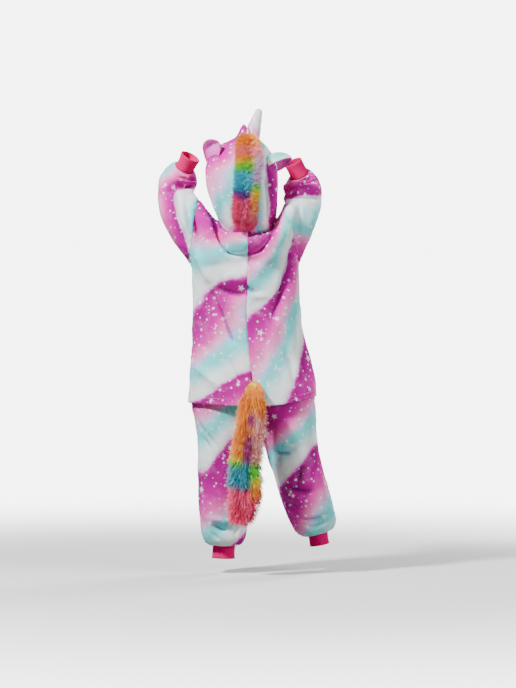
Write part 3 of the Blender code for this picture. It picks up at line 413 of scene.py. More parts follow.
@dataclass(frozen=True)
class GarmentCut:
    """How the onesie is cut, as rings and sheets of points in millimetres."""

    columns: int = 15
    neck_columns: int = 9
    rise_rows: int = 15
    trunk_rows: int = 20
    fork_rows: int = 4
    leg_rows: int = 20
    sleeve_rows: int = 24
    hood_columns: int = 18
    hood_spacing: float = 1.3
    side_turn: float = 98.0
    roundness: float = 0.84
    hem_t: float = 8.0
    crotch_t: float = 10.0
    tuck_t: float = 7.4
    flap_stand: float = 7.0
    flap_rows: float = 2.5
    flap_side_share: float = 0.25
    seat_inset: float = 6.0
    neck_half_width: float = 82.0
    neck_back: float = 62.0
    neck_front: float = 70.0
    nape_z: float = -14.0
    throat_z: float = -50.0
    neck_left_lift: float = 54.0
    neck_right_lift: float = 62.0
    neck_squareness: float = 0.7
    neck_lift_power: float = 7.0
    armhole_depth: float = 84.0
    armhole_roundness: float = 0.9
    armhole_fade: float = 0.7
    centre_swell: float = 12.0
    hood_roundness: float = 0.72
    hood_swell_place: float = 1.15

    def steps(self, start: float, end: float) -> np.ndarray:
        """Angles in radians of a half ring, with a column on the side seam."""
        back = np.linspace(start, self.side_turn, self.columns + 1)
        front = np.linspace(self.side_turn, end, self.columns + 1)
        return np.radians(np.concatenate([back, front[1:]]))

    def trunk_ring(self, t: float, side: Side) -> np.ndarray:
        """Half of the trunk at row t of TRUNK, from centre back round the side to centre front."""
        level = row_at(TRUNK, t)
        edge = level.left if side is Side.LEFT else -level.right
        angle = self.steps(0, 180)
        deep = power(np.cos(angle), self.roundness)
        x = level.seam_x + (edge - level.seam_x) * power(np.sin(angle), self.roundness)
        y = np.where(deep > 0, level.back, level.front) * deep
        rise = level.left_rise if side is Side.LEFT else level.right_rise
        return np.stack([x, y, level.z + rise * np.sin(angle) ** 2], axis=1)

    def leg_ring(self, level: LegSection, side: Side) -> np.ndarray:
        """A leg's ring, from the inseam round the back, the side seam and the front."""
        angle = self.steps(-90, 270)
        x = side.value * level.across * power(np.sin(angle), self.roundness)
        y = level.deep * power(np.cos(angle), self.roundness)
        turn = math.radians(level.tilt)
        z = side.value * x * math.sin(turn)
        return np.stack([level.x + x * math.cos(turn), level.y + y, level.z + z], axis=1)

    def fork_ring(self, t: float, side: Side) -> np.ndarray:
        """Between hip hem and crotch, where the half trunk closes into a leg."""
        trunk = self.trunk_ring(t, side)
        leg = self.leg_ring(LEGS[side][0], side)
        leg[:, 2] = trunk[:, 2]
        share = smooth((t - self.hem_t) / (self.crotch_t - self.hem_t))
        return trunk * (1 - share) + leg * share

    def neck_ring(self, side: Side) -> np.ndarray:
        """Half of the neck seam, from the nape round the side to the throat."""
        angle = np.linspace(0, math.pi, 2 * self.neck_columns + 1)
        deep = np.cos(angle)
        x = side.value * self.neck_half_width * power(np.sin(angle), self.neck_squareness)
        y = np.where(deep > 0, self.neck_back, self.neck_front) * deep
        lift = self.neck_left_lift if side is Side.LEFT else self.neck_right_lift
        z = self.nape_z * (1 + deep) / 2 + self.throat_z * (1 - deep) / 2
        z += lift * np.sin(angle) ** self.neck_lift_power
        return np.stack([x, y, z], axis=1)

    def armhole(self, side: Side, way: int) -> np.ndarray:
        """The back (way 1) or front (way -1) of an armhole, from the armpit up."""
        bottom = self.trunk_ring(0, side)[self.columns]
        top = np.array(SHOULDERS[side][-1])
        angle = np.linspace(-math.pi / 2, math.pi / 2, self.rise_rows + 1)[:, None]
        out = np.array([0, way * self.armhole_depth, 0])
        bulge = out * power(np.cos(angle), self.armhole_roundness)
        return (bottom + top) / 2 + (top - bottom) / 2 * np.sin(angle) + bulge

    def yoke(self, side: Side, way: int) -> np.ndarray:
        """The back or front from the armpit up, as rows from centre to armhole."""
        ring, neck = self.trunk_ring(0, side), self.neck_ring(side)
        if way < 0:
            ring, neck = ring[::-1], neck[::-1]
        line = SHOULDERS[side]
        places = np.linspace(0, len(line) - 1, self.columns - self.neck_columns + 1)[1:]
        shoulder = np.array([row_at(line, t) for t in places])
        top = np.concatenate([neck[: self.neck_columns + 1], shoulder])
        rise = np.linspace(0, 1, self.rise_rows + 1)[:, None]
        centre = ring[0] * (1 - rise) + neck[0] * rise
        centre[:, 1] += way * self.centre_swell * np.sin(math.pi * rise[:, 0])
        return span(ring[: self.columns + 1], top, centre, self.armhole(side, way))

    def sleeve(self, side: Side) -> np.ndarray:
        """A sleeve as closed rings from the armhole to the cuff, each from the armpit side."""
        sections = SLEEVES[side]
        hole = np.concatenate([self.armhole(side, 1), self.armhole(side, -1)[-2::-1]])
        angle = np.linspace(-math.pi / 2, 1.5 * math.pi, len(hole))[:, None]
        places = np.linspace(0, len(sections) - 1, self.sleeve_rows + 1)
        levels = [row_at(sections, t) for t in places]
        outer = np.array([[level.out_x, level.y, level.out_z] for level in levels])
        inner = np.array([[level.in_x, level.y, level.in_z] for level in levels])
        along = np.gradient((outer + inner) / 2, axis=0)
        turned = smooth(places / places[-1] / self.armhole_fade)
        rings = [hole]
        for level, low, high, tangent, turn in list(zip(levels, outer, inner, along, turned))[1:]:
            deep = np.cross(high - low, tangent) * side.value
            deep = deep / np.linalg.norm(deep) * turn + np.array([0, 1, 0]) * (1 - turn)
            deep *= level.deep / np.linalg.norm(deep)
            rings.append((low + high) / 2 + (high - low) / 2 * np.sin(angle) + deep * np.cos(angle))
        return np.array(rings)

    def hood(self, side: Side) -> np.ndarray:
        """Half of the hood as arches from the nape to the face edge."""
        neck = self.neck_ring(side)
        down = np.linspace(0, 1, self.hood_columns + 1) ** self.hood_spacing
        rise = np.cos(down * math.pi / 2) ** self.hood_roundness
        spread = np.sin(down * math.pi / 2) ** self.hood_roundness
        swell = np.sin(down**self.hood_swell_place * math.pi)
        rows = []
        for k, foot in enumerate(neck):
            arch = row_at(HOOD, k / (len(neck) - 1) * (len(HOOD) - 1))
            reach = arch.left if side is Side.LEFT else -arch.right
            x = arch.crest_x * (1 - down) ** 2 + foot[0] * spread + reach * swell
            y = foot[1] + (arch.crest_y - foot[1]) * rise
            z = foot[2] + (arch.crest_z - foot[2]) * rise
            rows.append(np.stack([x, y, z], axis=1))
        rows[0][:] = neck[0]
        return np.array(rows)

    def panels(self) -> list[PanelGrid]:
        """Every panel of the garment."""
        grids = []
        trunk_t = np.linspace(0, self.hem_t, self.trunk_rows + 1)
        fork_t = np.linspace(self.hem_t, self.crotch_t, self.fork_rows + 1)
        across = np.linspace(0, 1, self.columns + 1)
        down = smooth((trunk_t - self.hem_t) / self.flap_rows + 1)[:, None]
        stand = self.flap_stand * down * smooth((1 - across) / self.flap_side_share)[None]
        for side in Side:
            right = side is Side.RIGHT
            trunk = np.array([self.trunk_ring(t, side) for t in trunk_t])
            fork = np.array([self.fork_ring(t, side) for t in fork_t])
            sections = LEGS[side]
            leg_t = np.linspace(0, len(sections) - 1, self.leg_rows + 1)
            leg = np.array([self.leg_ring(row_at(sections, t), side) for t in leg_t])
            back = np.concatenate([self.yoke(side, 1)[::-1], trunk[1:, : self.columns + 1]])
            lifts = np.concatenate([np.zeros((self.rise_rows, self.columns + 1)), stand])
            grids.append(PanelGrid(f"back_{side.hand}", back, right, self.rise_rows, lifts=lifts))
            front_yoke = self.yoke(side, -1)[::-1, ::-1]
            below = [part[1:, self.columns :] for part in (trunk, fork, leg)]
            front = np.concatenate([front_yoke, *below])
            grids.append(PanelGrid(f"front_{side.hand}", front, right, self.rise_rows))
            tuck = self.trunk_ring(self.tuck_t, side)[None, : self.columns + 1]
            seat = np.concatenate([tuck, fork[:, : self.columns + 1], leg[1:, : self.columns + 1]])
            inset = np.zeros(seat.shape[:2])
            inset[:2] = -self.seat_inset
            grids.append(PanelGrid(f"seat_{side.hand}", seat, right, 1, under_rows=2, lifts=inset))
            grids.append(PanelGrid(f"sleeve_{side.hand}", self.sleeve(side), right))
            hood = self.hood(side)
            grids.append(PanelGrid(f"hood_{side.hand}", hood, not right, len(hood) // 2))
        return grids


# ---------------------------------------------------------------- folds and creases


class Fold(NamedTuple):
    """A soft ridge (height above 0) or trough along a bent line, drawn on the back or the front.

    Steep, from -1 to 1, makes one flank of it shorter than the other.
    """

    face: Face
    x0: float
    z0: float
    x1: float
    z1: float
    x2: float
    z2: float
    width: float
    height: float
    steep: float = 0.0


def fold_table(face: Face, *rows: tuple) -> tuple[Fold, ...]:
    """Folds in one face of the garment from plain rows of their other columns."""
    return tuple(Fold(face, *row) for row in rows)


BODY_FOLDS = fold_table(
    Face.BACK,  # x0, z0, x1, z1, x2, z2, width, height, steep
    # the roll of cloth that sags below the neck, and the trough under it
    (92, 0, 8, -112, -90, 4, 22, 20),
    (104, -14, 6, -158, -70, -60, 18, -11),
    # two lobes at the left shoulder with a crease between them
    (136, 70, 126, 14, 104, -40, 20, 15),
    (100, 60, 92, 10, 86, -44, 13, -13),
    (148, 24, 146, -30, 140, -92, 14, -10),
    # the long ridge down from the right shoulder, and the deep crease beside it
    (-134, 60, -122, 0, -8, -140, 24, 20),
    (-146, -10, -132, -120, -64, -280, 17, -17),
    (-112, -150, -84, -250, -60, -400, 26, 9),
    # slanting drag lines across the back
    (146, -78, 122, -120, 108, -165, 18, 9),
    (110, -175, 70, -240, 34, -350, 18, -11),
    (92, -170, 50, -196, 4, -186, 17, -9),
    (60, -130, 30, -160, -4, -160, 20, 8),
    (152, -400, 110, -425, 84, -462, 20, 9),
    (-170, -250, -156, -360, -186, -470, 22, -9),
    (30, -230, 24, -330, 10, -440, 22, 6),
    # behind the knees and above the ankles
    (140, -590, 120, -625, 112, -670, 17, -9),
    (-60, -655, -96, -660, -140, -630, 19, -8),
    (-106, -748, -150, -770, -196, -756, 17, -10),
    (-140, -735, -156, -705, -166, -685, 15, -8),
    (104, -852, 84, -880, 30, -872, 15, -9),
    (-150, -846, -190, -862, -234, -838, 15, -7),
) + fold_table(
    Face.FRONT,  # x0, z0, x1, z1, x2, z2, width, height, steep
    # the front
    (132, 60, 112, -60, 36, -175, 26, 14),
    (-130, 56, -104, -74, -30, -190, 24, 13),
    (150, -60, 124, -190, 84, -330, 20, -11),
    (-140, -50, -134, -180, -80, -300, 20, -12),
    (60, -300, 90, -380, 140, -440, 22, 8),
    (30, -610, 70, -570, 136, -548, 18, -10),
    (-84, -616, -120, -574, -178, -556, 18, -10),
    (34, -700, 66, -716, 116, -706, 17, -8),
    (-120, -716, -160, -730, -206, -712, 17, -8),
    (118, -850, 80, -874, 30, -858, 15, -8),
    (-150, -842, -190, -860, -232, -840, 15, -7),
)
CREASES = fold_table(
    Face.BACK,  # x0, z0, x1, z1, x2, z2, width, height, steep
    # left sleeve: the bunch below the cuff, and the long fold down its upper arm
    (262, 92, 214, 152, 156, 118, 9, -16, 0.4),
    (244, 140, 210, 146, 160, 150, 12, 9),
    (236, 160, 196, 138, 150, 146, 6, -11),
    (206, 110, 228, 40, 176, -52, 7, -22, -0.5),
    (196, 108, 202, 46, 172, -16, 14, 10),
    (246, 92, 246, 40, 214, -26, 12, 7),
    (176, 70, 178, 30, 160, -40, 7, -10),
    (178, 124, 168, 116, 158, 122, 6, -7),
    # right sleeve: two bunched rolls, then the big lobe
    (-106, 102, -142, 140, -208, 146, 8, -16, 0.4),
    (-104, 84, -148, 102, -216, 84, 8, -17, -0.3),
    (-110, 128, -150, 150, -200, 152, 10, 7),
    (-112, 104, -160, 128, -214, 112, 11, 9),
    (-150, 66, -146, 20, -152, -44, 8, -10, 0.3),
    (-186, 66, -186, 20, -176, -40, 13, 9),
    (-124, 64, -122, 30, -130, -16, 11, 7),
    (-158, -20, -160, -60, -150, -96, 7, -10),
    # back: sharp lines inside the large folds
    (92, 40, 80, -66, 42, -76, 6, -18, 0.3),
    (84, 0, 40, -76, -60, -44, 10, 9),
    (116, 56, 102, -62, 40, -96, 10, 8),
    (62, -72, 16, -86, -36, -68, 6, -14, 0.3),
    (-22, -72, -64, -62, -98, 24, 6, -14, 0.3),
    (-138, -20, -122, -120, -72, -250, 6, -14, -0.3),
    (-150, -40, -138, -90, -120, -150, 7, 7),
    (124, 64, 106, 4, 72, -44, 6, -12, 0.3),
    (106, 64, 94, 14, 70, -26, 9, 8),
    (150, 60, 150, 10, 150, -60, 6, -9),
    (144, -74, 128, -120, 110, -160, 8, 7),
    (104, -190, 70, -250, 38, -340, 6, -7, 0.4),
    (58, -290, 44, -320, 26, -344, 5, -7),
    (88, -172, 54, -200, 4, -192, 6, -10),
    (2, -172, -16, -190, -34, -184, 6, -7),
    (-6, -196, -30, -206, -60, -196, 9, 6),
    (150, -404, 120, -420, 84, -458, 7, 6),
    (148, -330, 120, -340, 96, -368, 10, -4),
    (60, -372, 40, -400, 24, -450, 9, -4),
    (-110, -356, -130, -400, -136, -460, 10, -6),
    (-160, -300, -150, -350, -164, -420, 8, -6),
    (-42, -300, -50, -360, -40, -420, 12, -4),
    # seat and legs
    (150, -556, 120, -600, 84, -636, 7, -7, 0.3),
    (132, -608, 124, -622, 108, -640, 5, -7),
    (-52, -540, -70, -590, -66, -650, 9, -7),
    (-66, -640, -96, -662, -126, -648, 7, -5, 0.3),
    (-152, -690, -150, -720, -134, -752, 6, -7),
    (-110, -750, -144, -764, -186, -756, 6, -7, 0.3),
    (-96, -780, -120, -800, -150, -806, 8, -6),
    (-200, -660, -190, -700, -196, -750, 9, -4),
    (100, -858, 82, -874, 58, -872, 5, -6, 0.4),
    (104, -880, 92, -892, 84, -900, 5, -7),
    (126, -836, 90, -840, 50, -850, 8, 6),
    (20, -846, 36, -870, 34, -896, 7, -7),
    (132, -690, 126, -740, 134, -800, 10, -4),
    (-150, -840, -186, -850, -226, -826, 5, -9, 0.3),
    (-170, -866, -200, -872, -226, -850, 6, -6),
) + fold_table(
    Face.FRONT,  # x0, z0, x1, z1, x2, z2, width, height, steep
    # front
    (120, 30, 100, -70, 30, -160, 7, 7),
    (-118, 28, -96, -80, -30, -170, 7, 7),
    (140, -70, 118, -200, 80, -320, 6, -10, 0.3),
    (-132, -60, -126, -180, -76, -290, 6, -10, -0.3),
    (150, -330, 110, -350, 60, -340, 9, -6),
    (-158, -350, -110, -370, -60, -352, 9, -6),
    (-20, -500, 40, -520, 120, -490, 10, -6),
    (-40, -520, -100, -530, -170, -505, 9, -6),
    (34, -600, 70, -572, 126, -552, 6, -9, 0.3),
    (-88, -606, -120, -576, -168, -560, 6, -9, -0.3),
    (38, -704, 66, -714, 106, -708, 6, -7),
    (-124, -718, -160, -728, -196, -714, 6, -7),
    (110, -856, 80, -870, 36, -862, 5, -9),
    (-156, -846, -190, -858, -226, -842, 5, -9),
    (262, 92, 214, 146, 156, 118, 9, -14, 0.4),
    (240, 60, 210, 70, 166, 60, 8, -12),
    (-106, 98, -150, 132, -208, 132, 8, -14, 0.3),
    (-106, 64, -150, 76, -200, 58, 8, -12),
)
HOOD_FOLDS = fold_table(
    Face.BACK,  # x0, z0, x1, z1, x2, z2, width, height, steep
    (-52, 206, -60, 110, -62, 10, 12, -8),
    (-78, 180, -84, 110, -78, 40, 14, 6),
    (92, 150, 84, 90, 62, 20, 16, -6),
    (-54, 200, -56, 110, -60, 4, 5, -8, 0.4),
    (84, 196, 60, 160, 44, 110, 9, -4),
    (104, 110, 84, 60, 50, 14, 8, -5, 0.3),
    (70, 70, 52, 40, 40, 4, 8, 4),
    (-78, 90, -70, 40, -64, 0, 7, -4),
)


@dataclass(frozen=True)
class Drape:
    """How the cloth is evened out, folded and lifted on its way from the cut to the worn garment."""

    relax_passes: int = 5
    even_passes: int = 24
    neck_calm: float = 34.0
    peak_x: float = 13.0
    peak_y: float = -42.0
    peak_radius: float = 20.0
    peak_rise: float = 44.0
    peak_from_z: float = 215.0
    path_steps: int = 14
    reach: float = 3.0
    ripple_height: float = 0.8
    ripple_count: int = 24
    ripple_lengths: tuple[float, float] = (28, 95)
    ripple_seed: int = 11
    seam_depth: float = 2.2
    seam_width: float = 3.2
    pucker_height: float = 1.1
    pucker_reach: float = 14.0
    pucker_pitch: float = 19.0
    pucker_way: tuple[float, float, float] = (0.5, 0.4, 0.8)
    cross_pitch: float = 31.0
    cross_way: tuple[float, float, float] = (0.7, -0.6, 0.31)
    blunt_end: float = 0.02

    def fold_height(self, folds: tuple[Fold, ...], points: np.ndarray, normals: np.ndarray) -> np.ndarray:
        """How far folds lift the cloth.

        Args:
            folds: The folds.
            points: Points of the cloth.
            normals: The cloth's directions there.

        Returns:
            A height for each point.
        """
        total = np.zeros(len(points))
        flat = points[:, [0, 2]]
        share = np.linspace(0, 1, self.path_steps + 1)[:, None]
        for fold in folds:
            ends = np.array([[fold.x0, fold.z0], [fold.x1, fold.z1], [fold.x2, fold.z2]])
            path = (1 - share) ** 2 * ends[0] + 2 * share * (1 - share) * ends[1] + share**2 * ends[2]
            facing = normals[:, 1] * fold.face.value
            room = fold.width * self.reach
            near = (facing > 0) & np.all(flat > path.min(axis=0) - room, axis=1)
            near = np.flatnonzero(near & np.all(flat < path.max(axis=0) + room, axis=1))
            if not len(near):
                continue
            start, step = path[:-1], np.diff(path, axis=0)
            offset = flat[near][:, None] - start[None]
            t = np.clip((offset * step).sum(axis=2) / (step**2).sum(axis=1), 0, 1)
            gap = offset - step * t[..., None]
            away = np.linalg.norm(gap, axis=2)
            nearest = away.argmin(axis=1)
            pick = (np.arange(len(near)), nearest)
            flank = np.sign(step[nearest, 0] * gap[pick][:, 1] - step[nearest, 1] * gap[pick][:, 0])
            width = fold.width * (1 + fold.steep * flank)
            along = np.clip((nearest + t[pick]) / self.path_steps, self.blunt_end, 1 - self.blunt_end)
            taper = np.sqrt(np.sin(math.pi * along))
            rise = fold.height * np.exp(-((away[pick] / width) ** 2)) * taper
            total[near] += rise * smooth(facing[near] * 2)
        return total

    def ripples(self, points: np.ndarray) -> np.ndarray:
        """The cloth's slight unevenness, as waves in many directions."""
        chance = np.random.default_rng(self.ripple_seed)
        total = np.zeros(len(points))
        for _ in range(self.ripple_count):
            direction = chance.normal(size=3) * (1, 1, 0.8)
            direction /= np.linalg.norm(direction)
            length = chance.uniform(*self.ripple_lengths)
            phase = chance.uniform(0, 2 * math.pi)
            total += np.sin(points @ direction * (2 * math.pi / length) + phase)
        return total * self.ripple_height / math.sqrt(self.ripple_count / 2)

    def seams(self, points: np.ndarray, away: np.ndarray) -> np.ndarray:
        """The groove at a seam, and the puckers beside it."""
        groove = -self.seam_depth * np.exp(-((away / self.seam_width) ** 2))
        waves = np.sin(points @ np.array(self.pucker_way) * (2 * math.pi / self.pucker_pitch))
        waves *= np.sin(points @ np.array(self.cross_way) * (2 * math.pi / self.cross_pitch))
        return groove + self.pucker_height * waves * np.exp(-((away / self.pucker_reach) ** 2))


@dataclass
class PanelCloth:
    """One panel's outer side after draping."""

    points: np.ndarray
    normals: np.ndarray
    faces: np.ndarray
    flat: np.ndarray
    rim: list[tuple[int, int]]
    free: np.ndarray
    hollow: np.ndarray


class WornCloth:
    """The whole garment's outer side as one fine, draped surface."""

    def __init__(self, cut: GarmentCut, drape: Drape, levels: int) -> None:
        """Builds the surface.

        Args:
            cut: The garment's cut.
            drape: How it is folded.
            levels: How often the cut's grid is halved.
        """
        self.cut, self.drape = cut, drape
        self.names: list[str] = []
        self.coarse = bmesh.new()
        self.known: dict[tuple, bmesh.types.BMVert] = {}
        self.panel_layer = self.coarse.faces.layers.int.new("panel")
        self.lift_layer = self.coarse.verts.layers.float.new("lift")
        self.flat_layer = self.coarse.loops.layers.uv.new("flat")
        for grid in cut.panels():
            self.add(grid)
        self.relax()
        self.flatten()
        self.refine(levels)
        self.fold()

    def vertex(self, point: np.ndarray, layer: str, lift: float) -> bmesh.types.BMVert:
        """The vertex at a point of one layer of cloth, made if it isn't there yet."""
        key = (layer, *np.round(point + KEY_SHIFT, 1))
        if key not in self.known:
            self.known[key] = self.coarse.verts.new(point)
        vertex = self.known[key]
        if abs(lift) > abs(vertex[self.lift_layer]):
            vertex[self.lift_layer] = lift
        return vertex

    def add(self, grid: PanelGrid) -> None:
        """Adds a panel's faces.

        Args:
            grid: The panel.
        """
        self.names.append(grid.name)
        index = len(self.names) - 1
        flat = flat_lengths(grid.rows, grid.level_row) * MM
        lifts = np.zeros(grid.rows.shape[:2]) if grid.lifts is None else grid.lifts
        verts = []
        for r, (row, row_lifts) in enumerate(zip(grid.rows, lifts)):
            layer = "under" if r < grid.under_rows else "outer"
            verts.append([self.vertex(point, layer, lift) for point, lift in zip(row, row_lifts)])
        for r in range(len(verts) - 1):
            for c in range(len(verts[0]) - 1):
                spots = [(r, c), (r, c + 1), (r + 1, c + 1), (r + 1, c)]
                spots = spots[::-1] if grid.flip else spots
                corners: dict[bmesh.types.BMVert, tuple[int, int]] = {}
                for spot in spots:
                    corners.setdefault(verts[spot[0]][spot[1]], spot)
                face = self.coarse.faces.new(list(corners))
                face[self.panel_layer] = index
                face.smooth = True
                for loop in face.loops:
                    loop[self.flat_layer].uv = flat[corners[loop.vert]]

    def relax(self) -> None:
        """Evens the surface out, apart from the neck seam and the free edges."""
        hoods = {self.names.index(f"hood_{side.hand}") for side in Side}
        held = set()
        for vertex in self.coarse.verts:
            marks = {face[self.panel_layer] for face in vertex.link_faces}
            if vertex.is_boundary or (marks & hoods and marks - hoods):
                held.add(vertex)
        inner = [vertex for vertex in self.coarse.verts if vertex not in held]
        for _ in range(self.drape.relax_passes):
            bmesh.ops.smooth_vert(
                self.coarse, verts=inner, factor=0.5, use_axis_x=True, use_axis_y=True, use_axis_z=True
            )

    def flatten(self) -> None:
        """Lays each panel's flat map out anew, so that the print keeps its shape on the cloth."""
        for index in range(len(self.names)):
            mine = [face for face in self.coarse.faces if face[self.panel_layer] == index]
            corners = [loop for face in mine for loop in face.loops]
            keys = [(loop.vert, *(round(part, 4) for part in loop[self.flat_layer].uv)) for loop in corners]
            number = {key: i for i, key in enumerate(dict.fromkeys(keys))}
            places = np.array([list(key[0].co) for key in number]) * MM
            start = np.array([key[1:] for key in number])
            faces, spot = [], 0
            for face in mine:
                size = len(face.verts)
                ring = [number[key] for key in keys[spot : spot + size]]
                faces += [ring[:3]] + ([[ring[0], *ring[2:]]] if size == 4 else [])
                spot += size
            spread = spread_flat(places, np.array(faces), start)
            for loop, key in zip(corners, keys):
                loop[self.flat_layer].uv = spread[number[key]]

    def refine(self, levels: int) -> None:
        """Halves the grid and reads the fine surface into arrays.

        Args:
            levels: How often it is halved.
        """
        mesh = bpy.data.meshes.new("fine_cloth")
        self.coarse.to_mesh(mesh)
        self.coarse.free()
        holder = put_in("fine_cloth", mesh)
        finer = holder.modifiers.new("finer", "SUBSURF")
        finer.levels = finer.render_levels = levels
        view = bpy.context.evaluated_depsgraph_get()
        fine = holder.evaluated_get(view).to_mesh()
        self.points = np.empty(len(fine.vertices) * 3)
        fine.vertices.foreach_get("co", self.points)
        self.points = self.points.reshape(-1, 3)
        self.faces = np.array([list(polygon.vertices) for polygon in fine.polygons])
        self.panel = np.array([item.value for item in fine.attributes["panel"].data])
        self.lift = np.array([item.value for item in fine.attributes["lift"].data])
        self.flat = np.empty(len(fine.loops) * 2)
        fine.uv_layers["flat"].data.foreach_get("uv", self.flat)
        self.flat = self.flat.reshape(-1, 4, 2)
        bpy.data.objects.remove(holder)

    def face_normals(self) -> np.ndarray:
        """Each face's normal, as long as twice its area."""
        corners = self.points[self.faces]
        return np.cross(corners[:, 2] - corners[:, 0], corners[:, 3] - corners[:, 1])

    def update_normals(self) -> None:
        """Works out the direction at each point."""
        total = np.zeros_like(self.points)
        facing = self.face_normals()
        for corner in range(4):
            np.add.at(total, self.faces[:, corner], facing)
        self.normals = total / np.maximum(np.linalg.norm(total, axis=1, keepdims=True), 1e-9)

    def seam_points(self) -> tuple[np.ndarray, np.ndarray, np.ndarray]:
        """Finds which points lie on seams.

        Returns:
            Marks for points on any seam, on the neck seam, and on the hood.
        """
        hoods = [self.names.index(f"hood_{side.hand}") for side in Side]
        low = np.full(len(self.points), len(self.names))
        high = np.full(len(self.points), -1)
        on_hood = np.zeros(len(self.points), bool)
        off_hood = np.zeros(len(self.points), bool)
        of_hood = np.isin(self.panel, hoods)
        for corner in range(4):
            np.minimum.at(low, self.faces[:, corner], self.panel)
            np.maximum.at(high, self.faces[:, corner], self.panel)
            on_hood[self.faces[of_hood, corner]] = True
            off_hood[self.faces[~of_hood, corner]] = True
        return low != high, on_hood & off_hood, on_hood

    def distance_to(self, marked: np.ndarray) -> np.ndarray:
        """How far each point is from the nearest marked one."""
        spots = self.points[marked]
        tree = KDTree(len(spots))
        for number, spot in enumerate(spots):
            tree.insert(spot, number)
        tree.balance()
        return np.array([tree.find(point)[2] for point in self.points])

    def fold(self) -> None:
        """Puts in the folds, the creases, the seams, the standing flap and the hood's peak."""
        self.update_normals()
        on_seam, on_neck, on_hood = self.seam_points()
        calm = smooth(self.distance_to(on_neck) / self.drape.neck_calm)
        rise = np.zeros(len(self.points))
        body = ~on_hood
        for folds, part in ((BODY_FOLDS, body), (CREASES, body), (HOOD_FOLDS, on_hood)):
            rise[part] += self.drape.fold_height(folds, self.points[part], self.normals[part])
        rise = rise * calm + self.lift
        self.points += self.normals * rise[:, None]
        from_peak = np.hypot(self.points[:, 0] - self.drape.peak_x, self.points[:, 1] - self.drape.peak_y)
        lifted = self.drape.peak_rise * np.exp(-((from_peak / self.drape.peak_radius) ** 2))
        self.points[:, 2] += np.where(self.points[:, 2] > self.drape.peak_from_z, lifted, 0)
        self.update_normals()
        away = self.distance_to(on_seam)
        detail = self.drape.ripples(self.points) * calm + self.drape.seams(self.points, away)
        self.points += self.normals * detail[:, None]
        self.update_normals()
        self.tree = BVHTree.FromPolygons(self.points.tolist(), self.faces.tolist())
        self.hollow = self.hollows()
        seam = self.shared_points("front")
        self.front_seam = seam[seam[:, 2].argsort()]

    def hollows(self) -> np.ndarray:
        """How far each point lies below the evened-out cloth, in millimetres."""
        ahead = np.stack([self.faces, np.roll(self.faces, -1, axis=1)], axis=2).reshape(-1, 2)
        start, end = np.unique(np.concatenate([ahead, ahead[:, ::-1]]), axis=0).T
        size = len(self.points)
        count = np.bincount(start, minlength=size)[:, None]
        even = self.points.copy()
        for _ in range(self.drape.even_passes):
            total = np.stack([np.bincount(start, even[end, axis], size) for axis in range(3)], axis=1)
            even += 0.5 * (total / count - even)
        return ((even - self.points) * self.normals).sum(axis=1)

    def panel_cloth(self, name: str) -> PanelCloth:
        """One panel cut out of the surface.

        Args:
            name: The panel.

        Returns:
            Its outer side, with its rim as edges that run round it.
        """
        chosen = self.panel == self.names.index(name)
        faces = self.faces[chosen]
        used, local = np.unique(faces, return_inverse=True)
        local = local.reshape(-1, 4)
        ahead = np.stack([local, np.roll(local, -1, axis=1)], axis=2).reshape(-1, 2)
        edges = {(a, b) for a, b in ahead.tolist() if a != b}
        rim = sorted((a, b) for a, b in edges if (b, a) not in edges)
        others = np.unique(self.faces[~chosen])
        free = ~np.isin(used, others)
        parts = (
            self.points[used], self.normals[used], local, self.flat[chosen], rim, free, self.hollow[used]
        )
        return PanelCloth(*parts)

    def hem(self) -> np.ndarray:
        """The back's free lower edge, in order of x."""
        edges = []
        for side in Side:
            cloth = self.panel_cloth(f"back_{side.hand}")
            ends = sorted({point for edge in cloth.rim for point in edge})
            spots = cloth.points[ends][cloth.free[ends]]
            edges.append(spots[(spots[:, 2] < HEM_FROM_Z) & (spots[:, 1] > 0)])
        line = np.concatenate(edges)
        return line[line[:, 0].argsort()]

    def shared_points(self, kind: str) -> np.ndarray:
        """The points on the seam between the left and the right panel of a kind."""
        halves = [self.names.index(f"{kind}_{side.hand}") for side in Side]
        left, right = (set(self.faces[self.panel == index].ravel().tolist()) for index in halves)
        return self.points[sorted(left & right)]

    def front_middle(self, z: float) -> float:
        """Where the seam down the front lies at height z."""
        return float(np.interp(z, self.front_seam[:, 2], self.front_seam[:, 0]))

    def on_back(self, x: float, z: float) -> tuple[Vector, Vector]:
        """The place and direction of the cloth seen from behind at x and z."""
        return self.tree.ray_cast(Vector((x, RAY_START, z)), Vector((0, -1, 0)))[:2]

    def on_front(self, x: float, z: float) -> tuple[Vector, Vector]:
        """The place and direction of the cloth seen from the front at x and z."""
        return self.tree.ray_cast(Vector((x, -RAY_START, z)), Vector((0, 1, 0)))[:2]


# ---------------------------------------------------------------- finishes


def shade(red: int, green: int, blue: int) -> Colour:
    """A colour on the scale of 255 as the shaders take it."""
    parts = []
    for part in (red / 255, green / 255, blue / 255):
        parts.append(part / 12.92 if part <= 0.04045 else ((part + 0.055) / 1.055) ** 2.4)
    return tuple(parts)


class Stop(NamedTuple):
    """A colour at a place of a run of colours."""

    place: float
    colour: Colour


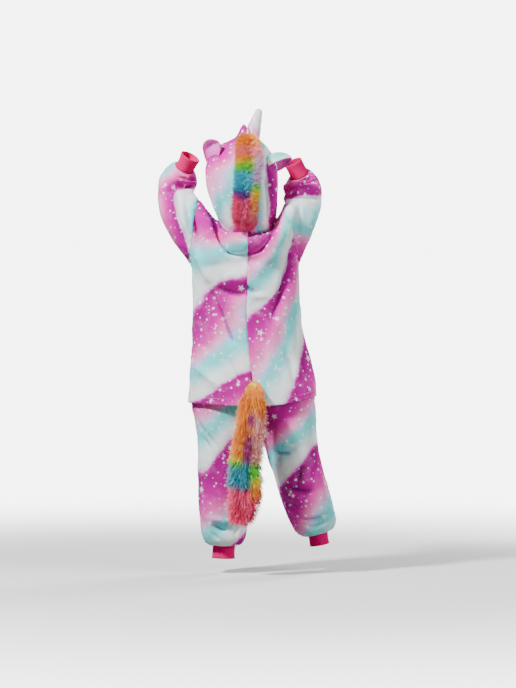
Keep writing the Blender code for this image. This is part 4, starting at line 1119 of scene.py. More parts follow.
class NodeTree:
    """Nodes that are added to a tree one after another."""

    def __init__(self, tree: bpy.types.NodeTree) -> None:
        """Takes a tree over."""
        self.tree = tree

    def add(self, kind: str, inputs: dict | None = None, **settings) -> bpy.types.Node:
        """Adds a node.

        Args:
            kind: The node's class.
            inputs: Values or sockets for its inputs.
            settings: Its own properties.

        Returns:
            The node.
        """
        node = self.tree.nodes.new(kind)
        for key, value in settings.items():
            setattr(node, key, value)
        for key, value in (inputs or {}).items():
            self.feed(node.inputs[key], value)
        return node

    def feed(self, socket: Socket, value: object) -> None:
        """Gives an input a value or a link."""
        if isinstance(value, Socket):
            self.tree.links.new(value, socket)
        else:
            socket.default_value = value

    def math(self, operation: str, first: object, second: object = 0.0) -> Socket:
        """The result of a sum on numbers."""
        return self.add("ShaderNodeMath", {0: first, 1: second}, operation=operation).outputs[0]

    def plus(self, first: object, second: object) -> Socket:
        """One number plus another."""
        return self.math("ADD", first, second)

    def minus(self, first: object, second: object) -> Socket:
        """One number less another."""
        return self.math("SUBTRACT", first, second)

    def times(self, first: object, second: object) -> Socket:
        """One number times another."""
        return self.math("MULTIPLY", first, second)

    def vector(self, operation: str, first: object, second: object = (0, 0, 0)) -> Socket:
        """The result of a sum on vectors."""
        node = self.add("ShaderNodeVectorMath", {0: first}, operation=operation)
        self.feed(node.inputs["Scale" if operation == "SCALE" else 1], second)
        return node.outputs["Value" if operation == "LENGTH" else "Vector"]


class Graph(NodeTree):
    """A material's nodes."""

    def __init__(self, name: str) -> None:
        """Starts a material.

        Args:
            name: The material's name.
        """
        self.material = bpy.data.materials.new(name)
        self.material.use_nodes = True
        super().__init__(self.material.node_tree)
        self.shader = self.tree.nodes["Principled BSDF"]

    def between(self, value: object, low: float, high: float) -> Socket:
        """0 below low to 1 above high, level at both ends."""
        node = self.add("ShaderNodeMapRange", {0: value, 1: low, 2: high}, interpolation_type="SMOOTHSTEP")
        return node.outputs[0]

    def mix(self, factor: object, first: object, second: object, blend: str = "MIX") -> Socket:
        """A mix of two colours."""
        node = self.add("ShaderNodeMix", data_type="RGBA", blend_type=blend)
        for index, value in ((0, factor), (6, first), (7, second)):
            self.feed(node.inputs[index], (*value, 1) if isinstance(value, tuple) else value)
        return node.outputs[2]

    def noise(self, place: object, scale: float, detail: float) -> Socket:
        """Smooth noise around 0.5; scale is how many waves there are in a metre."""
        node = self.add("ShaderNodeTexNoise", {"Vector": place, "Scale": scale, "Detail": detail})
        return node.outputs["Fac"]

    def run(self, value: object, stops: tuple[Stop, ...]) -> Socket:
        """A run of colours.

        Args:
            value: Where on the run.
            stops: The run's colours.

        Returns:
            The colour's socket.
        """
        node = self.add("ShaderNodeValToRGB", {0: value})
        ramp = node.color_ramp
        while len(ramp.elements) < len(stops):
            ramp.elements.new(0.5)
        for element, stop in zip(ramp.elements, stops):
            element.position = stop.place
            element.color = (*stop.colour, 1)
        return node.outputs[0]

    def attribute(self, name: str) -> Socket:
        """A number that the mesh carries."""
        return self.add("ShaderNodeAttribute", attribute_name=name).outputs["Fac"]

    def place(self) -> Socket:
        """Object coordinates, in metres."""
        return self.add("ShaderNodeTexCoord").outputs["Object"]

    def uv(self, name: str) -> Socket:
        """A UV map's coordinates."""
        return self.add("ShaderNodeUVMap", uv_map=name).outputs[0]

    def bump(self, height: object, distance: float, strength: float) -> None:
        """Gives the shader a relief."""
        inputs = {"Height": height, "Distance": distance, "Strength": strength}
        self.feed(self.shader.inputs["Normal"], self.add("ShaderNodeBump", inputs).outputs[0])

    def surface(self, **values: object) -> Finish:
        """Sets the shader's own inputs.

        Args:
            values: Inputs by name, with _ for a space.

        Returns:
            The material.
        """
        for key, value in values.items():
            value = (*value, 1) if isinstance(value, tuple) else value
            self.feed(self.shader.inputs[key.replace("_", " ")], value)
        return self.material


MAGENTA = shade(166, 0, 132)
BRIGHT_MAGENTA = shade(192, 0, 152)
HOT_PINK = shade(216, 16, 170)
PINK = shade(242, 90, 180)
PALE_PINK = shade(250, 168, 214)
LAVENDER = shade(196, 196, 240)
TEAL = shade(112, 226, 226)
PALE_TEAL = shade(178, 238, 240)
OFF_WHITE = shade(240, 250, 250)
PRINT_RUN = table(
    Stop, (0.0, shade(244, 190, 232)), (0.025, shade(206, 50, 176)), (0.05, MAGENTA),
    (0.18, BRIGHT_MAGENTA), (0.27, HOT_PINK), (0.36, PINK), (0.46, PALE_PINK), (0.51, LAVENDER),
    (0.57, TEAL), (0.66, TEAL), (0.75, PALE_TEAL), (0.85, OFF_WHITE), (0.96, OFF_WHITE),
    (1.0, shade(244, 190, 232)),
)


class StarSet(NamedTuple):
    """Stars or dots of one size scattered over the print, in millimetres."""

    pitch: float
    radius: float
    share: float
    notch: float
    scatter: float
    turn: float
    strength: float


STAR_SETS = table(
    StarSet,  # pitch, radius, share, notch, scatter, turn, strength
    (76, 11.5, 0.55, 0.45, 0.7, 0.0, 1.0),
    (43, 6.5, 0.4, 0.5, 0.7, 1.7, 0.9),
    (26, 3.9, 0.5, 1.0, 0.65, 4.1, 0.75),
    (15, 2.0, 0.3, 1.0, 0.65, 2.9, 0.65),
)


@dataclass(frozen=True)
class PrintFleece:
    """Plush fleece with the shaded print and its stars, painted highlights in pale patches and painted
    shade in the hollows of its folds; the wrong side is paler and has no stars.
    """

    name: str = "print_fleece"
    cloud: float = 0.075
    grain: float = 0.05
    # pale patches of the nap painted in as highlights
    highlight_tint: float = 0.12
    star_tint: float = 0.92
    darkest: float = 0.86
    paler_inside: float = 0.62
    nap_height: float = 0.0011
    sheen: float = 0.06
    points: int = 5
    # painted shade in the hollows of the folds: where it is deepest, how strong it is and its tint
    deep_hollow: float = 5.0
    hollow_shade_share: float = 0.75
    hollow_shade_tone: Colour = shade(176, 158, 204)

    def star(self, graph: Graph, flat: Socket, stars: StarSet) -> Socket:
        """1 inside the stars of a set, 0 outside.

        Args:
            graph: The material's nodes.
            flat: Where on the cloth, in metres.
            stars: The set.

        Returns:
            The mask's socket.
        """
        spot = graph.vector("SCALE", flat, 1 / (stars.pitch * MM))
        spot = graph.vector("ADD", spot, (stars.turn, stars.turn * 0.7, 0))
        inputs = {"Vector": spot, "Scale": 1.0, "Randomness": stars.scatter}
        cells = graph.add("ShaderNodeTexVoronoi", inputs, voronoi_dimensions="2D")
        apart = graph.vector("SUBTRACT", spot, cells.outputs["Position"])
        parts = graph.add("ShaderNodeSeparateXYZ", {0: apart})
        chance = graph.add("ShaderNodeSeparateColor", {0: cells.outputs["Color"]})
        angle = graph.math("ARCTAN2", parts.outputs[1], parts.outputs[0])
        turned = graph.plus(angle, graph.times(chance.outputs[1], 2 * math.pi))
        sector = graph.math("FRACT", graph.times(turned, self.points / (2 * math.pi)))
        point = graph.math("ABSOLUTE", graph.minus(graph.times(sector, 2.0), 1.0))
        sharp = graph.math("POWER", point, 1.5)
        outline = graph.plus(graph.times(sharp, 1 - stars.notch), stars.notch)
        grown = graph.plus(graph.times(chance.outputs[0], 0.45), 0.55)
        reach = graph.times(graph.times(outline, grown), stars.radius / stars.pitch)
        ratio = graph.math("DIVIDE", graph.vector("LENGTH", apart), reach)
        inside = graph.minus(1.0, graph.between(ratio, 0.65, 1.4))
        kept = graph.math("LESS_THAN", chance.outputs[2], stars.share)
        return graph.times(inside, kept)

    def build(self) -> Finish:
        """Makes the material."""
        graph = Graph(self.name)
        place, flat = graph.place(), graph.uv("flat")
        wide = graph.minus(graph.noise(place, 13, 3), 0.5)
        fine = graph.minus(graph.noise(place, 85, 3), 0.5)
        drift = graph.plus(graph.times(wide, self.cloud * 2), graph.times(fine, self.grain))
        phase = graph.math("FRACT", graph.plus(graph.attribute("print"), drift))
        colour = graph.run(phase, PRINT_RUN)
        # painted highlights: pale patches on the crushed nap
        highlight_patches = graph.between(graph.noise(place, 34, 2), 0.5, 0.7)
        colour = graph.mix(graph.times(highlight_patches, self.highlight_tint), colour, shade(255, 170, 225))
        stars = 0.0
        for size in STAR_SETS:
            mask = graph.times(self.star(graph, flat, size), size.strength)
            stars = graph.math("MAXIMUM", stars, mask)
        colour = graph.mix(graph.times(stars, self.star_tint), colour, shade(255, 250, 254))
        nap = graph.noise(place, 900, 2)
        tufts = graph.noise(place, 230, 3)
        tone = graph.plus(graph.times(nap, 0.35), graph.times(tufts, 0.65))
        bright = graph.plus(graph.times(tone, 0.3), self.darkest)
        grey = graph.add("ShaderNodeCombineColor", {0: bright, 1: bright, 2: bright}).outputs[0]
        colour = graph.mix(1.0, colour, grey, "MULTIPLY")
        # painted shade: the hollows of the folds are darkened and tinted
        hollow = graph.between(graph.attribute("hollow"), 0.5, self.deep_hollow)
        shaded = graph.mix(1.0, colour, self.hollow_shade_tone, "MULTIPLY")
        colour = graph.mix(graph.times(hollow, self.hollow_shade_share), colour, shaded)
        wrong_side = graph.mix(self.paler_inside, colour, shade(240, 226, 238))
        colour = graph.mix(graph.attribute("inside"), colour, wrong_side)
        graph.bump(tone, self.nap_height, 0.8)
        return graph.surface(
            Base_Color=colour, Roughness=0.92, Specular_IOR_Level=0.1, Sheen_Weight=self.sheen,
            Sheen_Roughness=0.45, Sheen_Tint=shade(255, 190, 235),
        )


@dataclass(frozen=True)
class PlainFleece:
    """Plush fleece of one colour, with painted shade towards what an attribute marks."""

    name: str
    colour: Colour
    deep: Colour
    nap_height: float = 0.0009

    def build(self) -> Finish:
        """Makes the material."""
        graph = Graph(self.name)
        place = graph.place()
        tufts = graph.noise(place, 260, 3)
        nap = graph.noise(place, 900, 2)
        tone = graph.plus(graph.times(nap, 0.4), graph.times(tufts, 0.6))
        # painted shade, not wear: darker towards what the attribute marks, broken up by the tufts
        worn = graph.plus(graph.attribute("deep"), graph.times(tufts, 0.3))
        colour = graph.mix(graph.between(worn, 0.1, 1.0), self.colour, self.deep)
        graph.bump(tone, self.nap_height, 0.8)
        return graph.surface(
            Base_Color=colour, Roughness=0.9, Specular_IOR_Level=0.2, Sheen_Weight=0.35,
            Sheen_Roughness=0.45, Sheen_Tint=shade(255, 236, 248),
        )


@dataclass(frozen=True)
class RibKnit:
    """Rib knit: wales that follow the ribs, crossed by small stitches, with painted shade in the valleys
    between the ribs.
    """

    name: str = "rib_knit"
    colour: Colour = shade(252, 0, 126)
    # deep is the colour of the painted shade in the valleys between the ribs
    deep: Colour = shade(186, 0, 84)
    wales: int = 54
    stitch: float = 1.5
    relief_height: float = 0.0005

    def build(self) -> Finish:
        """Makes the material."""
        graph = Graph(self.name)
        parts = graph.add("ShaderNodeSeparateXYZ", {0: graph.uv("flat")})
        wale = graph.math("SINE", graph.times(parts.outputs[0], 2 * math.pi * self.wales))
        slant = graph.times(graph.math("ABSOLUTE", wale), 0.35)
        along = graph.plus(graph.times(parts.outputs[1], 1 / (self.stitch * MM)), slant)
        loop = graph.math("SINE", graph.times(along, 2 * math.pi))
        fuzz = graph.noise(graph.place(), 700, 3)
        relief = graph.plus(graph.times(loop, 0.3), graph.times(fuzz, 0.5))
        # painted shade in the valleys between the ribs, with some random fuzz
        valley = graph.minus(1.0, graph.between(graph.attribute("rib"), 0.1, 0.75))
        shadow = graph.plus(graph.times(valley, 0.6), graph.times(fuzz, 0.2))
        graph.bump(relief, self.relief_height, 0.7)
        return graph.surface(
            Base_Color=graph.mix(shadow, self.colour, self.deep), Roughness=0.85, Specular_IOR_Level=0.1,
            Sheen_Weight=0.05, Sheen_Roughness=0.4,
        )


@dataclass(frozen=True)
class HornCloth:
    """Pearly cloth with a faint crinkle and painted glints, pinker towards the foot."""

    name: str = "horn_cloth"
    relief_height: float = 0.0012

    def build(self) -> Finish:
        """Makes the material."""
        graph = Graph(self.name)
        place = graph.place()
        crinkle = graph.noise(place, 150, 4)
        glint = graph.noise(place, 600, 2)
        pearl = graph.run(
            graph.plus(graph.attribute("up"), graph.times(crinkle, 0.25)),
            table(
                Stop, (0.15, shade(248, 120, 196)), (0.38, shade(248, 178, 220)),
                (0.62, shade(248, 236, 246)), (1.0, shade(240, 236, 246)),
            ),
        )
        # white flecks painted in as glints
        colour = graph.mix(graph.between(glint, 0.55, 0.75), pearl, shade(255, 255, 255))
        relief = graph.plus(graph.times(crinkle, 0.8), graph.times(glint, 0.3))
        graph.bump(relief, self.relief_height, 0.7)
        return graph.surface(
            Base_Color=colour, Metallic=0.05, Roughness=0.42, Sheen_Weight=0.2, Coat_Weight=0.15
        )


class FurBands(NamedTuple):
    """The colours along a strip of fur, down the wearer's right of it, its middle and its left."""

    right: tuple[Stop, ...]
    middle: tuple[Stop, ...]
    left: tuple[Stop, ...]


FUR_MAGENTA = shade(200, 0, 120)
FUR_CORAL = shade(255, 84, 156)
FUR_PEACH = shade(255, 150, 160)
FUR_ROSE = shade(255, 200, 194)
FUR_PURPLE = shade(140, 50, 190)
FUR_PLUM = shade(190, 30, 140)
FUR_TURQUOISE = shade(0, 186, 206)
FUR_SKY = shade(40, 222, 240)
FUR_LILAC = shade(226, 190, 226)
FUR_GREEN = shade(110, 232, 30)
FUR_YELLOW = shade(255, 232, 20)
FUR_ORANGE = shade(255, 176, 24)
MANE_BANDS = FurBands(
    right=table(
        Stop, (0.0, FUR_MAGENTA), (0.04, FUR_CORAL), (0.1, FUR_PEACH), (0.2, FUR_ORANGE),
        (0.27, FUR_YELLOW), (0.31, FUR_GREEN), (0.34, FUR_LILAC), (0.48, FUR_LILAC), (0.56, FUR_PEACH),
        (0.66, FUR_ORANGE), (0.9, FUR_ORANGE),
    ),
    middle=table(
        Stop, (0.0, FUR_MAGENTA), (0.03, FUR_CORAL), (0.22, FUR_CORAL), (0.25, FUR_PURPLE),
        (0.275, FUR_PURPLE), (0.3, FUR_TURQUOISE), (0.33, FUR_SKY), (0.41, FUR_SKY), (0.43, FUR_GREEN),
        (0.455, FUR_GREEN), (0.48, FUR_YELLOW), (0.51, FUR_ORANGE), (0.53, FUR_PEACH), (0.57, FUR_PEACH),
        (0.6, FUR_ORANGE), (0.9, FUR_ORANGE),
    ),
    left=table(
        Stop, (0.0, FUR_MAGENTA), (0.04, FUR_CORAL), (0.24, FUR_CORAL), (0.27, FUR_PURPLE),
        (0.3, FUR_TURQUOISE), (0.4, FUR_SKY), (0.43, FUR_GREEN), (0.47, FUR_YELLOW), (0.51, FUR_ORANGE),
        (0.55, FUR_PEACH), (0.6, FUR_ORANGE), (0.9, FUR_ORANGE),
    ),
)
TAIL_BANDS = FurBands(
    right=table(
        Stop, (0.0, FUR_ORANGE), (0.18, FUR_ORANGE), (0.24, FUR_ROSE), (0.49, FUR_ROSE), (0.53, FUR_GREEN),
        (0.59, FUR_GREEN), (0.64, FUR_YELLOW), (0.71, FUR_ORANGE), (0.78, FUR_CORAL), (0.95, FUR_CORAL),
    ),
    middle=table(
        Stop, (0.0, FUR_YELLOW), (0.06, FUR_ORANGE), (0.18, FUR_ORANGE), (0.21, FUR_PLUM), (0.26, FUR_PLUM),
        (0.29, FUR_ORANGE), (0.34, FUR_PLUM), (0.47, FUR_PLUM), (0.51, FUR_TURQUOISE),
        (0.66, FUR_TURQUOISE), (0.7, FUR_CORAL), (0.95, FUR_CORAL), (1.0, FUR_ORANGE),
    ),
    left=table(
        Stop, (0.0, FUR_YELLOW), (0.08, FUR_ORANGE), (0.45, FUR_ORANGE), (0.48, FUR_YELLOW),
        (0.51, FUR_GREEN), (0.54, FUR_TURQUOISE), (0.66, FUR_TURQUOISE), (0.7, FUR_CORAL),
        (0.92, FUR_CORAL), (1.0, FUR_ORANGE),
    ),
)


@dataclass(frozen=True)
class LongPile:
    """Long fur in rainbow bands, with painted shade at the roots and lighter at the tips."""

    name: str
    bands: FurBands
    middle_half_width: float = 0.3
    band_blur: float = 0.12
    dye: float = 0.0
    root_shade: float = 0.2
    tip_paleness: float = 0.14
    darkest: float = 0.82
    unevenness: float = 0.35

    def build(self) -> Finish:
        """Makes the material."""
        graph = Graph(self.name)
        along, across = graph.attribute("along"), graph.attribute("across")
        runs = [graph.run(along, stops) for stops in self.bands]
        edge, blur = self.middle_half_width, self.band_blur
        colour = graph.mix(graph.between(across, -edge - blur, -edge + blur), runs[0], runs[1])
        colour = graph.mix(graph.between(across, edge - blur, edge + blur), colour, runs[2])
        colour = graph.mix(self.dye, colour, colour, "MULTIPLY")
        tip = graph.attribute("tip")
        # painted shade at the roots of the strands
        root = graph.mix(self.root_shade, colour, colour, "MULTIPLY")
        pale = graph.mix(self.tip_paleness, colour, shade(255, 236, 225))
        colour = graph.mix(graph.between(tip, 0.0, 0.6), root, colour)
        colour = graph.mix(graph.times(graph.between(tip, 0.5, 1.0), 0.8), colour, pale)
        tone = graph.plus(graph.times(graph.attribute("tone"), self.unevenness), self.darkest)
        grey = graph.add("ShaderNodeCombineColor", {0: tone, 1: tone, 2: tone}).outputs[0]
        colour = graph.mix(1.0, colour, grey, "MULTIPLY")
        return graph.surface(
            Base_Color=colour, Roughness=0.6, Specular_IOR_Level=0.2, Sheen_Weight=0.1, Sheen_Roughness=0.4
        )


@dataclass(frozen=True)
class ButtonGloss:
    """Moulded plastic with a faint swirl."""

    name: str = "button_plastic"
    relief_height: float = 0.0001

    def build(self) -> Finish:
        """Makes the material."""
        graph = Graph(self.name)
        swirl = graph.noise(graph.place(), 220, 4)
        graph.bump(graph.noise(graph.place(), 1500, 2), self.relief_height, 0.3)
        colour = graph.mix(graph.between(swirl, 0.35, 0.7), shade(236, 92, 182), shade(250, 150, 210))
        return graph.surface(Base_Color=colour, Roughness=0.24, Coat_Weight=0.3)


@dataclass(frozen=True)
class SewingThread:
    """Twisted thread."""

    name: str
    colour: Colour

    def build(self) -> Finish:
        """Makes the material."""
        graph = Graph(self.name)
        fuzz = graph.noise(graph.place(), 2500, 2)
        colour = graph.mix(graph.times(fuzz, 0.5), self.colour, shade(255, 255, 255))
        return graph.surface(Base_Color=colour, Roughness=0.7, Sheen_Weight=0.1)


# ---------------------------------------------------------------- where the print lies on each panel


class PrintMark(NamedTuple):
    """A place on the back of the garment, and how far along the print's repeat it is.

    0, 1 and 2 are where white turns to magenta; then come pink, teal and white again.
    """

    x: float
    z: float
    phase: float


PRINT_MARKS = {  # x, z and phase of each mark
    "back_left": table(
        PrintMark,
        (132, 56, -0.84), (98, 48, -0.86), (92, 0, -0.8), (142, -35, -0.58), (62, -30, -0.62),
        (20, -52, -0.42), (32, -87, -0.2), (3, -130, 0.0), (78, -157, 0.0), (154, -232, 0.0),
        (3, -172, 0.1), (34, -172, 0.1), (3, -198, 0.36), (34, -212, 0.4), (81, -234, 0.24),
        (122, -238, 0.1), (71, -288, 0.4), (128, -286, 0.17), (154, -330, 0.27), (6, -278, 0.5),
        (78, -336, 0.5), (157, -397, 0.5), (81, -389, 0.7), (-12, -400, 1.0), (73, -452, 1.0),
        (157, -502, 1.0),
    ),
    "back_right": table(
        PrintMark,
        (-30, 10, 0.08), (-6, -18, 0.09), (-60, -18, 0.1), (-30, -46, 0.1), (-8, -58, 0.12),
        (-10, -80, 0.34), (-44, -72, 0.34), (-72, -44, 0.34), (-94, -20, 0.5), (-60, -92, 0.5),
        (-3, -151, 0.5), (-84, -110, 0.7), (-3, -255, 1.0), (-73, -191, 1.0), (-113, -75, 1.0),
        (-9, -336, 1.27), (-93, -223, 1.27), (-151, -96, 1.4), (-26, -429, 1.5), (-101, -322, 1.5),
        (-142, -197, 1.5), (-125, -313, 1.7), (-110, -487, 2.0), (-148, -386, 2.0), (-160, -313, 2.0),
        (-154, -484, 2.16),
    ),
    "seat_left": table(
        PrintMark,
        (139, -534, 0.4), (64, -522, 0.52), (96, -592, 0.7), (47, -609, 1.0), (130, -693, 1.0),
        (61, -745, 1.27), (130, -795, 1.27), (58, -824, 1.5), (130, -870, 1.5), (67, -880, 1.72),
        (14, -900, 2.08),
    ),
    "seat_right": table(
        PrintMark,
        (-58, -534, 0.1), (-87, -563, 0.27), (-58, -644, 0.5), (-145, -571, 0.5), (-70, -687, 0.7),
        (-174, -592, 0.7), (-93, -740, 1.0), (-194, -624, 1.0), (-128, -853, 1.27), (-203, -716, 1.27),
        (-165, -885, 1.5), (-232, -783, 1.5), (-215, -861, 1.64),
    ),
    "sleeve_left": table(
        PrintMark,
        (240, 168, 0.62), (200, 170, 0.45), (183, 148, 0.4), (255, 116, 0.36), (248, 84, 0.38),
        (226, 84, 0.1), (218, 30, 0.08), (245, 34, 0.36), (197, -15, 0.12), (205, -52, 0.3),
        (203, 106, 0.0), (180, 81, -0.2), (186, 38, -0.15), (166, 9, -0.4),
    ),
    "sleeve_right": table(
        PrintMark,
        (-122, 133, 0.4), (-180, 162, 0.3), (-165, 108, 0.12), (-209, 125, 0.25), (-150, 72, -0.16),
        (-203, 38, -0.4), (-128, 6, -0.42), (-165, 12, -0.28), (-186, -46, -0.62), (-158, -38, -0.62),
        (-150, -84, -0.8),
    ),
    "hood_left": table(
        PrintMark,
        (8, 300, 0.16), (20, 270, 0.2), (30, 225, 0.42), (60, 218, 0.22), (58, 190, 0.3), (90, 190, 0.28),
        (36, 175, 0.5), (100, 168, 0.33), (66, 168, 0.42), (104, 120, 0.42), (60, 115, 0.42),
        (34, 115, 0.6), (76, 66, 0.62), (34, 40, 0.8), (60, 20, 0.84), (100, 40, 0.52),
    ),
    "hood_right": table(
        PrintMark,
        (-10, 270, 0.1), (-42, 180, 0.86), (-44, 110, 0.8), (-40, 20, 0.74), (-52, 180, 1.0),
        (-53, 110, 1.0), (-55, 20, 1.0), (-70, 180, 1.14), (-74, 110, 1.14), (-80, 20, 1.12),
    ),
    "front_left": table(
        PrintMark,
        (0, -100, 0.1), (150, -160, -0.1), (0, -400, 1.25), (150, -500, 1.1), (70, -700, 2.1),
        (20, -880, 2.95), (130, -880, 2.7),
    ),
    "front_right": table(
        PrintMark,
        (0, -100, -0.35), (-150, -40, -0.2), (0, -400, 0.8), (-180, -330, 0.9), (-120, -700, 2.0),
        (-180, -880, 2.8), (-230, -800, 2.75),
    ),
    "ear_left": table(
        PrintMark,
        (84, 190, 0.2), (120, 196, 0.34), (88, 240, 0.36), (112, 250, 0.4),
    ),
    "ear_right": table(
        PrintMark,
        (-60, 200, 0.7), (-100, 212, 0.62), (-130, 206, 0.9), (-90, 180, 0.95),
    ),
    "placket": table(
        PrintMark,
        (0, -100, 0.5), (0, -480, 2.1), (-40, -300, 1.4),
    ),
}
PRINT_UNIT = 100  # millimetres to one unit of the plate that the marks bend
PRINT_SLACK = 0.02  # how loosely the plate is held to its marks
DEPTH_DRIFT = {"hood_left": 0.0006, "sleeve_left": 0.0006, "sleeve_right": 0.0006}


def print_phase(name: str, points: np.ndarray) -> np.ndarray:
    """Where points of a panel lie in the print's repeat, on a thin plate through its marks.

    Args:
        name: The panel.
        points: Points in millimetres.

    Returns:
        A phase for each point.
    """
    marks = np.array(PRINT_MARKS[name], float)
    spots, count = marks[:, :2] / PRINT_UNIT, len(marks)

    def plate(apart: np.ndarray) -> np.ndarray:
        """The thin plate's weight at a distance."""
        return apart**2 * np.log(np.maximum(apart, 1e-6))

    level = np.concatenate([np.ones((count, 1)), spots], axis=1)
    stiff = plate(np.linalg.norm(spots[:, None] - spots[None], axis=2)) + np.eye(count) * PRINT_SLACK
    system = np.block([[stiff, level], [level.T, np.zeros((3, 3))]])
    weights = np.linalg.solve(system, np.concatenate([marks[:, 2], np.zeros(3)]))
    flat = points[:, [0, 2]] / PRINT_UNIT
    phase = np.zeros(len(points))
    for spot, weight in zip(spots, weights[:count]):
        phase += weight * plate(np.linalg.norm(flat - spot, axis=1))
    phase += weights[count] + flat @ weights[count + 1 :]
    return phase + points[:, 1] * DEPTH_DRIFT.get(name, 0.0)


# ---------------------------------------------------------------- pieces


def ring_faces(count: int, size: int) -> Faces:
    """Faces of a body of rings that closes in a first and a last point.

    Args:
        count: How many rings there are.
        size: How many points each ring has.

    Returns:
        The faces.
    """
    faces = [[0, 1 + (c + 1) % size, 1 + c] for c in range(size)]
    for r in range(count - 1):
        low, high = 1 + r * size, 1 + (r + 1) * size
        for c in range(size):
            beside = (c + 1) % size
            faces.append([low + c, low + beside, high + beside, high + c])
    low, last = 1 + (count - 1) * size, 1 + count * size
    return faces + [[low + c, low + (c + 1) % size, last] for c in range(size)]


def layered(front: np.ndarray, back: np.ndarray, flip: bool) -> tuple[np.ndarray, Faces, np.ndarray]:
    """A sheet of two layers of points, closed round its border.

    Args:
        front: One layer, as rows and columns of points.
        back: The other layer.
        flip: Whether its rows run the other way round, seen from the front.

    Returns:
        Points, faces and a UV pair for each face's corner.
    """
    rows, columns = front.shape[:2]
    faces, count = [], rows * columns
    for r in range(rows - 1):
        for c in range(columns - 1):
            a = r * columns + c
            faces.append([a, a + 1, a + columns + 1, a + columns])
            faces.append([a + count + columns, a + count + columns + 1, a + count + 1, a + count])
    border = list(range(columns))
    border += [r * columns + columns - 1 for r in range(1, rows)]
    border += [(rows - 1) * columns + c for c in range(columns - 2, -1, -1)]
    border += [r * columns for r in range(rows - 2, 0, -1)]
    faces += [[b, a, a + count, b + count] for a, b in zip(border, border[1:] + border[:1])]
    if flip:
        faces = [face[::-1] for face in faces]
    spots = flat_lengths(front, 0).reshape(-1, 2) * MM
    points = np.concatenate([front.reshape(-1, 3), back.reshape(-1, 3)])
    return points, faces, np.array([spots[corner % count] for face in faces for corner in face])


def link_piece(
    name: str, points: np.ndarray, faces: Faces, finish: Finish,
    numbers: dict[str, np.ndarray] | None = None, flat: np.ndarray | None = None,
) -> Piece:
    """Makes a piece's object from points in millimetres.

    Args:
        name: The piece.
        points: Its points.
        faces: Its faces, pointing out.
        finish: Its material.
        numbers: Numbers that the material reads, one for each point.
        flat: A UV map, a pair for each corner of each face in turn.

    Returns:
        The object.
    """
    mesh = bpy.data.meshes.new(name)
    mesh.from_pydata((np.asarray(points) * MM).tolist(), [], faces)
    for key, values in (numbers or {}).items():
        mesh.attributes.new(key, "FLOAT", "POINT").data.foreach_set("value", np.asarray(values, np.float32))
    if flat is not None:
        mesh.uv_layers.new(name="flat").data.foreach_set("uv", np.asarray(flat, np.float32).ravel())
    mesh.materials.append(finish)
    mesh.shade_smooth()
    return put_in(name, mesh)


def enter(piece: Piece, slot: str, *nodes: str) -> None:
    """Makes a piece ride on the garment and stand for its nodes."""
    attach(piece, BODY)
    if nodes:
        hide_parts(*nodes)
    LOG.info("%s: %d faces", piece.name, len(piece.data.polygons))


@dataclass
class PrintedPanel:
    """A panel of printed fleece as a thin wall with a rolled edge."""

    node: str
    flat_width: float
    flat_length: float
    held: str = "draped"
    wall: float = 2.4
    edge_roll: float = 0.7

    def shell(self, cloth: PanelCloth) -> tuple[np.ndarray, Faces, np.ndarray, np.ndarray]:
        """Gives the panel its wall.

        Args:
            cloth: The panel's outer side.

        Returns:
            Points, faces, a UV pair for each face's corner, and marks for the inner points.
        """
        count = len(cloth.points)
        outer = cloth.points
        inner = outer - cloth.normals * self.wall
        rim_points = sorted({point for edge in cloth.rim for point in edge})
        number = {point: 2 * count + i for i, point in enumerate(rim_points)}
        outward = {point: np.zeros(3) for point in rim_points}
        for a, b in cloth.rim:
            way = np.cross(outer[b] - outer[a], cloth.normals[a])
            for point in (a, b):
                outward[point] = outward[point] + way
        middle = []
        for point in rim_points:
            way = outward[point] / max(np.linalg.norm(outward[point]), 1e-9)
            roll = self.edge_roll if cloth.free[point] else 0.0
            middle.append((outer[point] + inner[point]) / 2 + way * roll)
        points = np.concatenate([outer, inner, np.array(middle)])
        cells = list(zip(cloth.faces.tolist(), cloth.flat.tolist()))
        faces = [corners for corners, _ in cells]
        faces += [[corner + count for corner in reversed(corners)] for corners, _ in cells]
        flat = [spot for _, spots in cells for spot in spots]
        flat += [spot for _, spots in cells for spot in reversed(spots)]
        place = {corner: spot for corners, spots in cells for corner, spot in zip(corners, spots)}
        for a, b in cloth.rim:
            faces.append([b, a, number[a], number[b]])
            faces.append([number[b], number[a], a + count, b + count])
            flat += [place[b], place[a], place[a], place[b]] * 2
        inside = np.concatenate([np.zeros(count), np.ones(count), np.full(len(middle), 0.4)])
        return points, faces, np.array(flat), inside

    def build(self, worn: WornCloth, finish: Finish) -> Piece:
        """Makes the panel.

        Args:
            worn: The garment's cloth.
            finish: The print.

        Returns:
            The panel's object.
        """
        cloth = worn.panel_cloth(self.node)
        points, faces, flat, inside = self.shell(cloth)
        # how deep the cloth lies in its folds, which the print reads to paint shade into the hollows
        hollow = np.zeros(len(points))
        hollow[: len(cloth.points)] = cloth.hollow
        numbers = {"print": print_phase(self.node, points), "inside": inside, "hollow": hollow}
        piece = link_piece(f"{self.node}_cloth", points, faces, finish, numbers, flat)
        enter(piece, "print_fleece", self.node)
        return piece

    def area(self, cloth: PanelCloth) -> float:
        """The panel's area in square metres."""
        corners = cloth.points[cloth.faces] * MM
        crossed = np.cross(corners[:, 2] - corners[:, 0], corners[:, 3] - corners[:, 1])
        return float(np.linalg.norm(crossed, axis=1).sum() / 2)


